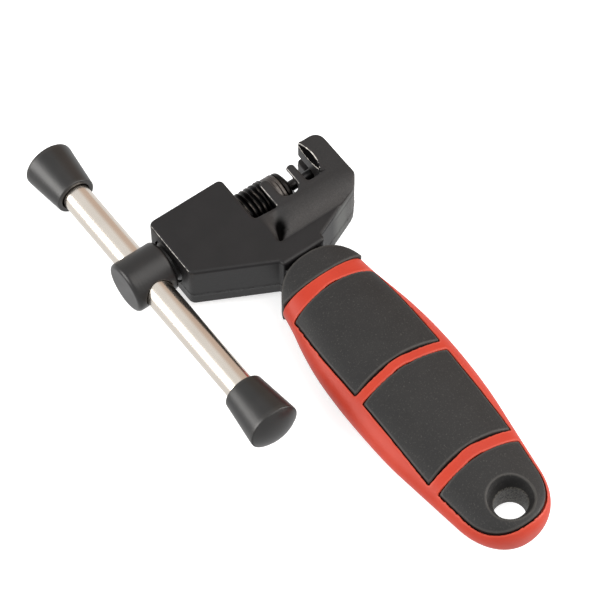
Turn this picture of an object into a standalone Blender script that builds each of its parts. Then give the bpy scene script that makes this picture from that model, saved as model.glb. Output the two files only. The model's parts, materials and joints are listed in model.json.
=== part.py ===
"""Chain tool: a black cast head on a red handle with black grip pads, a screw spindle
with a drive pin, and a tommy bar that slides through the spindle's head.

Frame while building: X along the spindle towards the anvil, Y from the handle to the head,
Z through the tool's thickness. The spindle's axis is Y = Z = 0. The last step moves the
whole tool so that its box stands on Z = 0, centred on X and Y.
"""

from math import cos, pi, radians, sin

import bmesh
import bpy
import numpy as np
from mathutils import Matrix, Vector

MM = 0.001

# Clearances
GAP = 0.3 * MM
THREAD_GAP = 0.3 * MM
SLIDE_GAP = 0.1 * MM

# Tommy bar and its caps
BAR_D = 8.0 * MM
BAR_X = -38.6 * MM
BAR_TILT = radians(4.0)
BAR_FAR = 44.5 * MM
BAR_NEAR = 56.2 * MM
CAP_LENGTH = 13.6 * MM
CAP_DOME = 2.2 * MM
CAP_WALL = 1.35 * MM
CAP_FLARE = 1.55 * MM
CAP_R_MOUTH = BAR_D / 2 + GAP + CAP_WALL
CAP_R_END = CAP_R_MOUTH + CAP_FLARE
CAP_RIM = 0.7 * MM
CAP_SOCKET = 11.6 * MM

# Spindle
HEAD_R = 7.2 * MM
HEAD_LENGTH = 12.9 * MM
HEAD_END = -32.3 * MM
HEAD_EDGE = 0.9 * MM
THREAD_R = 6.0 * MM
THREAD_DEPTH = 0.9 * MM
NECK_R = THREAD_R - THREAD_DEPTH
THREAD_START = -30.6 * MM
NOSE_START = 1.7 * MM
NOSE_STEP = 0.3 * MM
NOSE_R = THREAD_R - NOSE_STEP
NOSE_END = 5.4 * MM
HOLDER_STEP = 0.2 * MM
HOLDER_R = NOSE_R - HOLDER_STEP
HOLDER_END = 8.2 * MM
HOLDER_EDGE = 1.5 * MM
HOLDER_STEM_R = 3.2 * MM
HOLDER_STEM = 5.0 * MM
PIN_R = 1.5 * MM
PIN_TIP = 16.6 * MM
PIN_ROOT = 3.4 * MM

# Head casting
HEAD_HALF = 8.0 * MM
JAW_HALF = 7.2 * MM
CAST_EDGE = 0.75 * MM
BOSS_LEFT = -31.1 * MM
BOSS_RIGHT = -7.5 * MM
BOSS_TOP = 9.05 * MM
BOSS_BOTTOM = -10.4 * MM
WALL_A = (-0.2 * MM, 2.8 * MM)
WALL_B = (8.65 * MM, 11.2 * MM)
WALL_TOP = 2.3 * MM
FLOOR_BOSS = -6.5 * MM
FLOOR_A = -5.6 * MM
FLOOR_B = -4.8 * MM
ANVIL_FACE = 15.6 * MM
ANVIL_CHAMFER = 1.6 * MM
ANVIL_OUT = 22.95 * MM
ANVIL_TOP = 6.55 * MM
ANVIL_ROUND = 3.2 * MM
ANVIL_SLOT_HALF = 1.9 * MM
ANVIL_SLOT_DEPTH = 3.4 * MM
ANVIL_HEEL = -10.0 * MM
JAW_CORNER = (19.6 * MM, -14.4 * MM)
NECK_RIGHT = 4.0 * MM
NECK_LEFT = -10.0 * MM
PLATE_END = -22.7 * MM
SHOULDER = -21.0 * MM
RELIEF_LEFT = (-6.6 * MM, -0.6 * MM)
RELIEF_LOW = (-16.0 * MM, -6.6 * MM)
TANG_HALF_WIDTH = 5.6 * MM
TANG_HALF = 2.0 * MM
TANG_STOP = 25.4 * MM
THROAT_HALF = 4.6 * MM
THROAT_END = -27.0 * MM

# Handle. Each row: distance below the spindle axis, half width, half thickness, centre X.
# The rows are drawn for a handle that ends at STATIONS_END, and follow HANDLE_END.
HANDLE_STATIONS = (
    (20.0, 12.0, 7.5, -2.8),
    (30.0, 12.9, 7.6, -2.9),
    (36.0, 13.8, 7.75, -3.1),
    (42.0, 15.1, 7.9, -3.3),
    (50.0, 16.45, 8.0, -3.4),
    (60.0, 17.25, 8.0, -3.4),
    (72.0, 17.25, 7.9, -3.45),
    (82.0, 16.65, 7.6, -3.6),
    (92.0, 15.3, 7.2, -3.7),
    (100.0, 14.15, 6.9, -3.75),
    (112.0, 12.5, 6.4, -3.8),
    (120.0, 11.6, 6.2, -3.8),
)
STATIONS_END = 119.4 * MM
HANDLE_END = 119.4 * MM
END_ROUND = 13.4 * MM
END_START = HANDLE_END - END_ROUND
TANG_END = -(HANDLE_END - TANG_STOP)
END_POWER = 2.3
SECTION_POWER = 2.2
HANDLE_X = -2.9 * MM
CORE_TOP = 30.6 * MM
CORE_NECK = (8.6 * MM, 5.2 * MM)
COLLAR_TOP = 22.95 * MM
COLLAR_BASE = 36.0 * MM
COLLAR_HALF_WIDTH = 13.7 * MM
COLLAR_POWER = 2.3
COLLAR_LAP = 3.2 * MM

# Grip pads. Each row: distance below the spindle axis, half width of the pads
PAD_STATIONS = (
    (34.0, 12.7),
    (46.0, 13.45),
    (58.0, 13.5),
    (70.0, 13.3),
    (82.0, 13.2),
    (93.0, 12.85),
    (100.0, 12.2),
    (108.0, 11.4),
    (118.0, 10.6),
)
PAD_DEPTH = 1.9 * MM
PAD_PROUD = 0.12 * MM
PAD_ARCH = 1.7 * MM
GRIP_TOP = 34.4 * MM
GRIP_LIP = 2.1 * MM
BAND_UPPER = 3.3 * MM
BAND_LOWER = 3.8 * MM
END_GRIP = 21.3 * MM
UPPER_EXTRA = 0.05 * MM
PAD_END = (HANDLE_END - GRIP_LIP - END_GRIP, HANDLE_END - GRIP_LIP)
PAD_LENGTH = (PAD_END[0] - BAND_LOWER - BAND_UPPER - GRIP_TOP) / 2
PAD_UPPER = (GRIP_TOP, GRIP_TOP + PAD_LENGTH + UPPER_EXTRA)
PAD_MIDDLE = (PAD_UPPER[1] + BAND_UPPER, PAD_END[0] - BAND_LOWER)

# Hanging hole
HOLE_X = -3.1 * MM
HOLE_INSET = 9.5 * MM
HOLE_Y = -(HANDLE_END - HOLE_INSET)
HOLE_R = 4.1 * MM
HOLE_STRETCH = 1.12
LINER_WALL = 1.2 * MM
DISH_R = 6.4 * MM
DISH_DEPTH = 3.0 * MM

TURN_STEPS = 48


# ---------------------------------------------------------------- scene and materials


def clear_scene():
    """Empties the start-up scene."""
    for obj in list(bpy.data.objects):
        bpy.data.objects.remove(obj, do_unlink=True)
    for collection in list(bpy.data.collections):
        bpy.data.collections.remove(collection)


def new_collection(name):
    """A collection linked to the scene."""
    collection = bpy.data.collections.new(name)
    bpy.context.scene.collection.children.link(collection)
    return collection


def finish(name, colour, metallic, roughness, coat=0.0):
    """A Principled material."""
    material = bpy.data.materials.new(name)
    material.use_nodes = True
    shader = material.node_tree.nodes["Principled BSDF"]
    shader.inputs["Base Color"].default_value = (*colour, 1.0)
    shader.inputs["Metallic"].default_value = metallic
    shader.inputs["Roughness"].default_value = roughness
    shader.inputs["Coat Weight"].default_value = coat
    material.diffuse_color = (*colour, 1.0)
    return material


def solid(name, mesh, collection, material=None):
    """An object for a mesh, in the given collection."""
    obj = bpy.data.objects.new(name, mesh)
    collection.objects.link(obj)
    if material is not None:
        mesh.materials.clear()
        mesh.materials.append(material)
    return obj


def cutter(name, mesh):
    """A helper solid, never rendered."""
    obj = solid(name, mesh, CUTTERS)
    obj.hide_render = True
    obj.display_type = "WIRE"
    return obj


def combine(target, tool, operation):
    """An exact Boolean between two solids."""
    modifier = target.modifiers.new(f"{operation.lower()}_{tool.name}", "BOOLEAN")
    modifier.operation = operation
    modifier.solver = "EXACT"
    modifier.object = tool
    return modifier


# ---------------------------------------------------------------- shape tools


def rounded_outline(corners, step=radians(15)):
    """Polygon corners (x, y, radius) to points, with each corner rounded by its radius."""
    points = []
    count = len(corners)
    for index, (x, y, radius) in enumerate(corners):
        here = Vector((x, y))
        before = Vector(corners[index - 1][:2]) - here
        after = Vector(corners[(index + 1) % count][:2]) - here
        if radius <= 0:
            points.append(here)
            continue
        angle = before.angle(after)
        reach = radius / np.tan(angle / 2)
        start = here + before.normalized() * reach
        middle = here + (before.normalized() + after.normalized()).normalized() * (
            radius / sin(angle / 2)
        )
        first = start - middle
        sweep = pi - angle
        turn = 1.0 if before.cross(after) < 0 else -1.0
        pieces = max(2, int(round(sweep / step)))
        for piece in range(pieces + 1):
            a = turn * sweep * piece / pieces
            points.append(
                middle
                + Vector(
                    (
                        first.x * cos(a) - first.y * sin(a),
                        first.x * sin(a) + first.y * cos(a),
                    )
                )
            )
    return points


def drawn_in(outline, inset):
    """An anticlockwise or clockwise outline moved inwards by inset, corner by corner."""
    points = np.array([(place[0], place[1]) for place in outline])
    before = points - np.roll(points, 1, axis=0)
    after = np.roll(points, -1, axis=0) - points
    before /= np.linalg.norm(before, axis=1)[:, None]
    after /= np.linalg.norm(after, axis=1)[:, None]
    x = points[:, 0]
    y = points[:, 1]
    area = np.sum(x * np.roll(y, -1) - np.roll(x, -1) * y)
    turn = 1.0 if area > 0 else -1.0
    normal = np.stack([-(before + after)[:, 1], (before + after)[:, 0]], axis=1) * turn
    normal /= np.linalg.norm(normal, axis=1)[:, None]
    side = np.stack([-before[:, 1], before[:, 0]], axis=1) * turn
    reach = inset / np.sum(normal * side, axis=1)
    return points + normal * reach[:, None]


def slab_mesh(name, outline, half, edge=0.0, segments=2):
    """A flat outline given thickness both ways, with its rims rounded by edge."""
    levels = [(0.0, -half), (0.0, half)]
    if edge > 0:
        turns = [pi / 2 * step / segments for step in range(segments + 1)]
        upper = [(edge * (1 - cos(a)), half - edge + edge * sin(a)) for a in turns]
        levels = [(inset, -height) for inset, height in reversed(upper)] + upper
    form = bmesh.new()
    rings = []
    for inset, height in levels:
        places = drawn_in(outline, inset)
        rings.append([form.verts.new((x, y, height)) for x, y in places])
    count = len(outline)
    for lower, upper in zip(rings, rings[1:]):
        for index in range(count):
            after = (index + 1) % count
            form.faces.new((lower[index], lower[after], upper[after], upper[index]))
    form.faces.new(rings[0])
    form.faces.new(rings[-1])
    mesh = bpy.data.meshes.new(name)
    form.to_mesh(mesh)
    form.free()
    return cleaned(mesh)


def cleaned(mesh):
    """Merges doubles, splits warped faces into triangles and points every face outwards."""
    form = bmesh.new()
    form.from_mesh(mesh)
    bmesh.ops.remove_doubles(form, verts=form.verts, dist=1e-6)
    bmesh.ops.triangulate(form, faces=form.faces)
    form.normal_update()
    bmesh.ops.recalc_face_normals(form, faces=form.faces)
    form.to_mesh(mesh)
    form.free()
    return mesh


def block_mesh(name, low, high):
    """A box between two corners."""
    form = bmesh.new()
    bmesh.ops.create_cube(form, size=1.0)
    low = Vector(low)
    high = Vector(high)
    for vert in form.verts:
        vert.co = Vector(
            (
                (low[i] + high[i]) / 2 + vert.co[i] * (high[i] - low[i])
                for i in range(3)
            )
        )
    mesh = bpy.data.meshes.new(name)
    form.to_mesh(mesh)
    form.free()
    return mesh


def prism_mesh(name, outline, start, end, plane):
    """A polygon carried along one axis. plane 'XZ' runs along Y, 'YZ' along X."""
    form = bmesh.new()
    rows = []
    for along in (start, end):
        row = []
        for a, b in outline:
            place = (a, along, b) if plane == "XZ" else (along, a, b)
            row.append(form.verts.new(place))
        rows.append(row)
    form.faces.new(rows[0])
    form.faces.new(rows[1])
    count = len(outline)
    for index in range(count):
        after = (index + 1) % count
        form.faces.new(
            (rows[0][index], rows[0][after], rows[1][after], rows[1][index])
        )
    form.normal_update()
    bmesh.ops.recalc_face_normals(form, faces=form.faces)
    mesh = bpy.data.meshes.new(name)
    form.to_mesh(mesh)
    form.free()
    return mesh


ALONG_X = Matrix.Rotation(pi / 2, 4, "Y")
ALONG_BAR = Matrix.Rotation(-BAR_TILT, 4, "X") @ Matrix.Rotation(-pi / 2, 4, "X")


def turned_mesh(name, profile, placing, steps=TURN_STEPS):
    """A turned solid: (radius, height) pairs from top to bottom down the outer side."""
    mesh = bpy.data.meshes.new(name)
    points = [(radius, 0.0, height) for radius, height in profile]
    edges = [(index, index + 1) for index in range(len(points) - 1)]
    mesh.from_pydata(points, edges, [])
    guide = bpy.data.objects.new(name, mesh)
    bpy.context.scene.collection.objects.link(guide)
    screw = guide.modifiers.new("turn", "SCREW")
    screw.axis = "Z"
    screw.angle = 2 * pi
    screw.steps = steps
    screw.render_steps = steps
    screw.use_merge_vertices = True
    screw.merge_threshold = 0.00001
    bpy.context.view_layer.update()
    turned = bpy.data.meshes.new_from_object(
        guide.evaluated_get(bpy.context.evaluated_depsgraph_get())
    )
    bpy.data.objects.remove(guide, do_unlink=True)
    turned.transform(placing)
    return cleaned(turned)


def rounded_turn(start, end, radius, edge, steps=3):
    """The profile of a plain turned pin with both rims rounded, from end down to start."""
    profile = [(0.0, end)]
    for step in range(steps + 1):
        a = pi / 2 * step / steps
        profile.append((radius - edge + edge * sin(a), end - edge + edge * cos(a)))
    for step in range(steps + 1):
        a = pi / 2 * step / steps
        profile.append((radius - edge + edge * cos(a), start + edge - edge * sin(a)))
    profile.append((0.0, start))
    return profile


# ---------------------------------------------------------------- the handle's surface

def placed(rows):
    """The rows in metres, with those below the collar moved to suit the handle's length."""
    table = np.array(rows) * MM
    stretch = (HANDLE_END - COLLAR_BASE) / (STATIONS_END - COLLAR_BASE)
    below = np.maximum(table[:, 0] - COLLAR_BASE, 0.0)
    table[:, 0] += below * (stretch - 1.0)
    return table


STATIONS = placed(HANDLE_STATIONS)
PAD_ROWS = placed(PAD_STATIONS)


def smooth_row(down, column, table=STATIONS):
    """A size at a distance below the spindle axis, on a smooth curve through the stations."""
    places = table[:, 0]
    values = table[:, column]
    slopes = np.gradient(values, places)
    down = np.clip(down, places[0], places[-1])
    index = np.clip(np.searchsorted(places, down) - 1, 0, len(places) - 2)
    width = places[index + 1] - places[index]
    t = (down - places[index]) / width
    a = 2 * t**3 - 3 * t**2 + 1
    b = t**3 - 2 * t**2 + t
    c = -2 * t**3 + 3 * t**2
    d = t**3 - t**2
    return (
        a * values[index]
        + b * width * slopes[index]
        + c * values[index + 1]
        + d * width * slopes[index + 1]
    )


def half_width(down):
    """The handle's half width, closing to a round end."""
    t = np.clip((down - END_START) / (HANDLE_END - END_START), 0.0, 1.0)
    return smooth_row(down, 1) * (1 - t**END_POWER) ** (1 / END_POWER)


def half_thickness(down):
    """The handle's half thickness, closing at the round end."""
    t = np.clip((down - END_START) / (HANDLE_END - END_START), 0.0, 1.0)
    return smooth_row(down, 2) * (1 - t**6) ** (1 / 3)


def crown(across, down):
    """Height of the handle's face above its middle plane."""
    part = np.clip(np.abs(across) / np.maximum(half_width(down), 1e-6), 0.0, 1.0)
    return half_thickness(down) * (1 - part**SECTION_POWER) ** (1 / SECTION_POWER)


def grid_solid(name, rings, start_cap, end_cap):
    """A closed solid through rings of equal count. Each cap is a point, or None for a flat."""
    rows, around, _ = rings.shape
    points = rings.reshape(-1, 3).tolist()
    faces = []
    for row in range(rows - 1):
        for k in range(around):
            a = row * around + k
            b = row * around + (k + 1) % around
            faces.append((a, b, b + around, a + around))
    for cap, row in ((start_cap, 0), (end_cap, rows - 1)):
        ring = [row * around + k for k in range(around)]
        if cap is None:
            faces.append(tuple(ring))
            continue
        points.append(tuple(cap))
        tip = len(points) - 1
        faces += [(ring[k], ring[(k + 1) % around], tip) for k in range(around)]
    mesh = bpy.data.meshes.new(name)
    mesh.from_pydata(points, [], faces)
    return cleaned(mesh)


def lens_ring(down, inset, around=40):
    """One ring of the handle's section, drawn in by inset all round."""
    angle = np.linspace(0, 2 * pi, around, endpoint=False) + pi / around
    c = np.cos(angle)
    s = np.sin(angle)
    power = 2 / SECTION_POWER
    wide = max(float(half_width(down)) - inset, 0.0)
    tall = max(float(half_thickness(down)) - inset, 0.0)
    return np.stack(
        [
            float(smooth_row(down, 3)) + wide * np.sign(c) * np.abs(c) ** power,
            np.full(around, -down),
            tall * np.sign(s) * np.abs(s) ** power,
        ],
        axis=1,
    )


def handle_mesh(name, start, end, inset=0.0, rows=30):
    """The handle's body between two distances below the spindle axis."""
    closing = end >= HANDLE_END
    if closing:
        straight = np.linspace(start, END_START, rows)
        turn = np.linspace(0, pi / 2, 12)[1:-1]
        round_end = END_START + (HANDLE_END - END_START) * np.sin(turn)
        places = np.concatenate([straight, round_end])
    else:
        places = np.linspace(start, end, rows)
    rings = np.stack([lens_ring(down, inset) for down in places])
    tip = (float(smooth_row(HANDLE_END, 3)), -HANDLE_END, 0.0) if closing else None
    return grid_solid(name, rings, None, tip)


def pad_width(down):
    """Half width of the grip pads, closing to a round end."""
    t = np.clip((down - END_START) / (PAD_END[1] - END_START), 0.0, 1.0)
    return smooth_row(down, 1, PAD_ROWS) * (1 - t**END_POWER) ** (1 / END_POWER)


def pad_mesh(name, span, side, grow=0.0, above=PAD_PROUD, below=PAD_DEPTH):
    """A grip pad that follows the handle's crown, or its pocket when it is grown."""
    top, bottom = span
    rounded = bottom >= PAD_END[1]
    rows = 14
    columns = 15
    if rounded:
        straight = np.linspace(top - grow, END_START, 7)
        turn = np.linspace(0, pi / 2, 11)[1:] * 0.985
        places = np.concatenate([straight, END_START + (bottom - END_START) * np.sin(turn)])
        fade = 1 - np.clip((places - top) / (END_START - top), 0.0, 1.0)
    else:
        places = np.linspace(top - grow, bottom + grow, rows)
        fade = np.ones(rows)
    share = np.sin(np.linspace(-pi / 2, pi / 2, columns))
    wide = pad_width(places) + grow
    down = places + (grow if rounded else 0.0) * (places > END_START)
    across = wide[:, None] * share[None, :]
    along = down[:, None] + PAD_ARCH * fade[:, None] * share[None, :] ** 2
    face = crown(across, np.minimum(along, HANDLE_END - 0.6 * MM))
    middle = smooth_row(along, 3)
    layers = []
    for lift in (above, -below):
        height = side * np.maximum(face + lift, 0.4 * MM)
        layers.append(np.stack([middle + across, -along, height], axis=2))
    count = len(places) * columns
    points = np.concatenate([layer.reshape(-1, 3) for layer in layers]).tolist()
    faces = []
    for row in range(len(places) - 1):
        for k in range(columns - 1):
            a = row * columns + k
            quad = (a, a + 1, a + 1 + columns, a + columns)
            faces.append(quad)
            faces.append(tuple(v + count for v in reversed(quad)))
    rim = [k for k in range(columns)]
    rim += [row * columns + columns - 1 for row in range(1, len(places))]
    rim += [(len(places) - 1) * columns + k for k in range(columns - 2, -1, -1)]
    rim += [row * columns for row in range(len(places) - 2, 0, -1)]
    for k, a in enumerate(rim):
        b = rim[(k + 1) % len(rim)]
        faces.append((a, b, b + count, a + count))
    mesh = bpy.data.meshes.new(name)
    mesh.from_pydata(points, [], faces)
    return cleaned(mesh)


# ---------------------------------------------------------------- the pieces


def head_outline():
    """The casting's plan, anticlockwise from the boss's top left corner."""
    wall_a = (WALL_A[1] - WALL_A[0]) / 2
    wall_b = (WALL_B[1] - WALL_B[0]) / 2
    corners = [
        (BOSS_LEFT, BOSS_TOP, 1.8 * MM),
        (BOSS_LEFT, BOSS_BOTTOM, 2.0 * MM),
        (NECK_LEFT, SHOULDER - 0.4 * MM, 0.3 * MM),
        (NECK_LEFT, PLATE_END, 1.0 * MM),
        (NECK_RIGHT, PLATE_END, 1.2 * MM),
        (NECK_RIGHT, SHOULDER, 0.4 * MM),
        (*JAW_CORNER, 6.0 * MM),
        (ANVIL_OUT, ANVIL_HEEL, 2.5 * MM),
        (ANVIL_OUT, ANVIL_TOP, ANVIL_ROUND),
        (ANVIL_FACE, ANVIL_TOP, 1.3 * MM),
        (ANVIL_FACE, FLOOR_B, 1.0 * MM),
        (WALL_B[1], FLOOR_B, 1.0 * MM),
        (WALL_B[1], WALL_TOP, wall_b * 0.88),
        (WALL_B[0], WALL_TOP, wall_b * 0.88),
        (WALL_B[0], FLOOR_A, 2.4 * MM),
        (WALL_A[1], FLOOR_A, 2.4 * MM),
        (WALL_A[1], WALL_TOP, wall_a * 0.9),
        (WALL_A[0], WALL_TOP, wall_a * 0.9),
        (WALL_A[0], FLOOR_BOSS, 0.5 * MM),
        (BOSS_RIGHT, FLOOR_BOSS, 1.0 * MM),
        (BOSS_RIGHT, BOSS_TOP, 1.6 * MM),
    ]
    return rounded_outline(corners)


def relieved(mesh):
    """Lowers both faces round the chain seat, down two ramps that meet in a valley."""
    left, floor_left = RELIEF_LEFT
    low, floor_low = RELIEF_LOW
    run = Vector((floor_left - left, floor_low - low, 0.0))
    form = bmesh.new()
    form.from_mesh(mesh)
    for place, normal in (
        ((left, 0, 0), (1, 0, 0)),
        ((floor_left, 0, 0), (1, 0, 0)),
        ((0, low, 0), (0, 1, 0)),
        ((0, floor_low, 0), (0, 1, 0)),
        ((left, low, 0), (run.y, -run.x, 0)),
    ):
        whole = [*form.verts, *form.edges, *form.faces]
        bmesh.ops.bisect_plane(form, geom=whole, plane_co=place, plane_no=normal, dist=1e-7)
    for vert in form.verts:
        if abs(vert.co.z) < HEAD_HALF - CAST_EDGE - 0.01 * MM:
            continue
        across = min(max((vert.co.x - left) / run.x, 0.0), 1.0)
        along = min(max((vert.co.y - low) / run.y, 0.0), 1.0)
        drop = (HEAD_HALF - JAW_HALF) * min(across, along)
        vert.co.z -= drop if vert.co.z > 0 else -drop
    form.to_mesh(mesh)
    form.free()
    return cleaned(mesh)


def make_head():
    """The casting: boss, walls, anvil, neck and tang."""
    mesh = slab_mesh("head_frame", head_outline(), HEAD_HALF, CAST_EDGE)
    head = solid("head_frame", relieved(mesh), PARTS, BLACK_CASTING)
    throat = cutter(
        "throat",
        block_mesh(
            "throat",
            (NECK_LEFT + 1.0 * MM, THROAT_END, -THROAT_HALF),
            (NECK_RIGHT - 1.0 * MM, PLATE_END + 3.0 * MM, THROAT_HALF),
        ),
    )
    combine(head, throat, "UNION")
    tang = cutter(
        "tang",
        slab_mesh(
            "tang",
            rounded_outline(
                [
                    (HANDLE_X - TANG_HALF_WIDTH, THROAT_END + 3.0 * MM, 0.5 * MM),
                    (HANDLE_X - TANG_HALF_WIDTH, TANG_END, 3.0 * MM),
                    (HANDLE_X + TANG_HALF_WIDTH, TANG_END, 3.0 * MM),
                    (HANDLE_X + TANG_HALF_WIDTH, THROAT_END + 3.0 * MM, 0.5 * MM),
                ]
            ),
            TANG_HALF,
        ),
    )
    combine(head, tang, "UNION")
    bore = cutter(
        "spindle_bore",
        turned_mesh(
            "spindle_bore",
            [
                (0.0, WALL_B[1] + 1.3 * MM),
                (THREAD_R + THREAD_GAP, WALL_B[1] + 1.3 * MM),
                (THREAD_R + THREAD_GAP, BOSS_LEFT - 3.0 * MM),
                (0.0, BOSS_LEFT - 3.0 * MM),
            ],
            ALONG_X,
        ),
    )
    combine(head, bore, "DIFFERENCE")
    slot_outline = [
        (ANVIL_TOP + 4.0 * MM, ANVIL_SLOT_HALF),
        (ANVIL_TOP + 4.0 * MM, -ANVIL_SLOT_HALF),
    ]
    for step in range(9):
        a = -pi / 2 - pi * step / 8
        slot_outline.append((ANVIL_SLOT_HALF * cos(a), ANVIL_SLOT_HALF * sin(a)))
    slot = cutter(
        "rivet_slot",
        prism_mesh(
            "rivet_slot",
            slot_outline,
            ANVIL_FACE - 1.5 * MM,
            ANVIL_FACE + ANVIL_SLOT_DEPTH,
            "YZ",
        ),
    )
    combine(head, slot, "DIFFERENCE")
    low = JAW_HALF - ANVIL_CHAMFER
    for side in (1, -1):
        wedge = [
            (ANVIL_FACE - 1.0 * MM, side * (low - 1.0 * MM)),
            (ANVIL_FACE + ANVIL_CHAMFER + 1.5 * MM, side * (JAW_HALF + 1.5 * MM)),
            (ANVIL_FACE - 1.0 * MM, side * (JAW_HALF + 1.5 * MM)),
        ]
        tool = cutter(
            f"anvil_chamfer_{'front' if side > 0 else 'back'}",
            prism_mesh("anvil_chamfer", wedge, FLOOR_B + 0.2 * MM, ANVIL_TOP + 3.0 * MM, "XZ"),
        )
        combine(head, tool, "DIFFERENCE")
    return head


def make_spindle():
    """T-head, neck, threaded shank and nose in one turned piece, with its cross hole."""
    e = HEAD_EDGE
    start = HEAD_END - HEAD_LENGTH
    holder_bore = HOLDER_STEM_R + GAP
    profile = [
        (0.0, NOSE_END - HOLDER_STEM - GAP),
        (holder_bore, NOSE_END - HOLDER_STEM - GAP),
        (holder_bore, NOSE_END),
        (NOSE_R - 0.3 * MM, NOSE_END),
        (NOSE_R, NOSE_END - 0.3 * MM),
        (NOSE_R, NOSE_START),
        (THREAD_R, NOSE_START - (THREAD_R - NOSE_R)),
        (THREAD_R, THREAD_START),
        (NECK_R, THREAD_START - (THREAD_R - NECK_R)),
        (NECK_R, HEAD_END),
        (HEAD_R - e, HEAD_END),
        (HEAD_R - 0.3 * e, HEAD_END - 0.3 * e),
        (HEAD_R, HEAD_END - e),
        (HEAD_R, start + e),
        (HEAD_R - 0.3 * e, start + 0.3 * e),
        (HEAD_R - e, start),
        (0.0, start),
    ]
    spindle = solid("spindle", turned_mesh("spindle", profile, ALONG_X), PARTS, BLACK_STEEL)
    hole = cutter(
        "cross_hole",
        turned_mesh(
            "cross_hole",
            [
                (0.0, 2 * HEAD_R),
                (BAR_D / 2 + SLIDE_GAP, 2 * HEAD_R),
                (BAR_D / 2 + SLIDE_GAP, -2 * HEAD_R),
                (0.0, -2 * HEAD_R),
            ],
            Matrix.Translation((BAR_X, 0, 0)) @ ALONG_BAR,
        ),
    )
    combine(spindle, hole, "DIFFERENCE")
    return spindle


def make_pin_holder():
    """The domed bush in the spindle's nose, bored for the drive pin."""
    bore = PIN_R + GAP
    profile = [(bore, HOLDER_END)]
    for step in range(5):
        a = pi / 2 * step / 4
        profile.append(
            (
                HOLDER_R - HOLDER_EDGE + HOLDER_EDGE * sin(a),
                HOLDER_END - HOLDER_EDGE + HOLDER_EDGE * cos(a),
            )
        )
    profile += [
        (HOLDER_R, NOSE_END + GAP),
        (HOLDER_STEM_R, NOSE_END + GAP),
        (HOLDER_STEM_R, NOSE_END - HOLDER_STEM),
        (0.0, NOSE_END - HOLDER_STEM),
    ]
    closed = [(0.0, PIN_ROOT - GAP), (bore, PIN_ROOT - GAP)] + profile
    return solid("pin_holder", turned_mesh("pin_holder", closed, ALONG_X), PARTS, DARK_STEEL)


def make_pin():
    """The drive pin, with a short chamfer at its tip."""
    profile = [
        (0.0, PIN_TIP),
        (PIN_R - 0.4 * MM, PIN_TIP),
        (PIN_R, PIN_TIP - 0.5 * MM),
        (PIN_R, PIN_ROOT),
        (0.0, PIN_ROOT),
    ]
    return solid("drive_pin", turned_mesh("drive_pin", profile, ALONG_X, 24), PARTS, PIN_STEEL)


def bar_place():
    """The bar's frame: its Z runs along the bar towards the far cap."""
    return Matrix.Translation((BAR_X, 0, 0)) @ ALONG_BAR


def make_bar():
    """The plain rod."""
    profile = rounded_turn(-BAR_NEAR, BAR_FAR, BAR_D / 2, 0.6 * MM)
    return solid("tommy_bar", turned_mesh("tommy_bar", profile, bar_place()), PARTS, CHROME)


def make_cap(name, end):
    """A flared cap. Its mouth is towards the spindle, and its end is domed."""
    socket = BAR_D / 2 + GAP
    bar_end = BAR_FAR if end > 0 else BAR_NEAR
    outer = bar_end + CAP_LENGTH - CAP_SOCKET
    mouth = outer - CAP_LENGTH
    profile = [(0.0, outer + CAP_DOME)]
    for step in range(1, 6):
        a = radians(15) * step
        fall = 0.72 * CAP_DOME * (1 - cos(a)) / (1 - cos(radians(75)))
        radius = (CAP_R_END - 0.9 * MM) * sin(a) / sin(radians(75))
        profile.append((radius, outer + CAP_DOME - fall))
    profile += [
        (CAP_R_END - 0.25 * MM, outer + 0.15 * MM),
        (CAP_R_END, outer - CAP_RIM),
        (CAP_R_MOUTH, mouth + 0.35 * MM),
        (CAP_R_MOUTH - 0.35 * MM, mouth),
        (socket, mouth),
        (socket, bar_end + GAP),
        (0.0, bar_end + GAP),
    ]
    place = bar_place()
    if end < 0:
        place = place @ Matrix.Rotation(pi, 4, "X")
    return solid(name, turned_mesh(name, profile, place), PARTS, CAP_PLASTIC)


def hole_mesh(name, radius, low, high, steps=32):
    """A plain round cutter through the thickness at the hanging hole, stretched across."""
    place = Matrix.Translation((HOLE_X, HOLE_Y, 0)) @ Matrix.Diagonal((HOLE_STRETCH, 1, 1, 1))
    profile = [(0.0, high), (radius, high), (radius, low), (0.0, low)]
    return turned_mesh(name, profile, place, steps)


def neck_mesh(name, top, grow):
    """The core's neck under the collar, or the collar's seat for it when it is grown."""
    angle = np.linspace(0, 2 * pi, 36, endpoint=False) + pi / 36
    wide = (CORE_NECK[0] + grow) * np.sign(np.cos(angle)) * np.abs(np.cos(angle)) ** 0.7
    tall = (CORE_NECK[1] + grow) * np.sign(np.sin(angle)) * np.abs(np.sin(angle)) ** 0.7
    outline = np.stack([HANDLE_X + wide, tall], axis=1)
    rings = [
        np.stack([outline[:, 0], np.full(36, -down), outline[:, 1]], axis=1)
        for down in (top, CORE_TOP + 3.0 * MM)
    ]
    return grid_solid(name, np.stack(rings), None, None)


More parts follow.
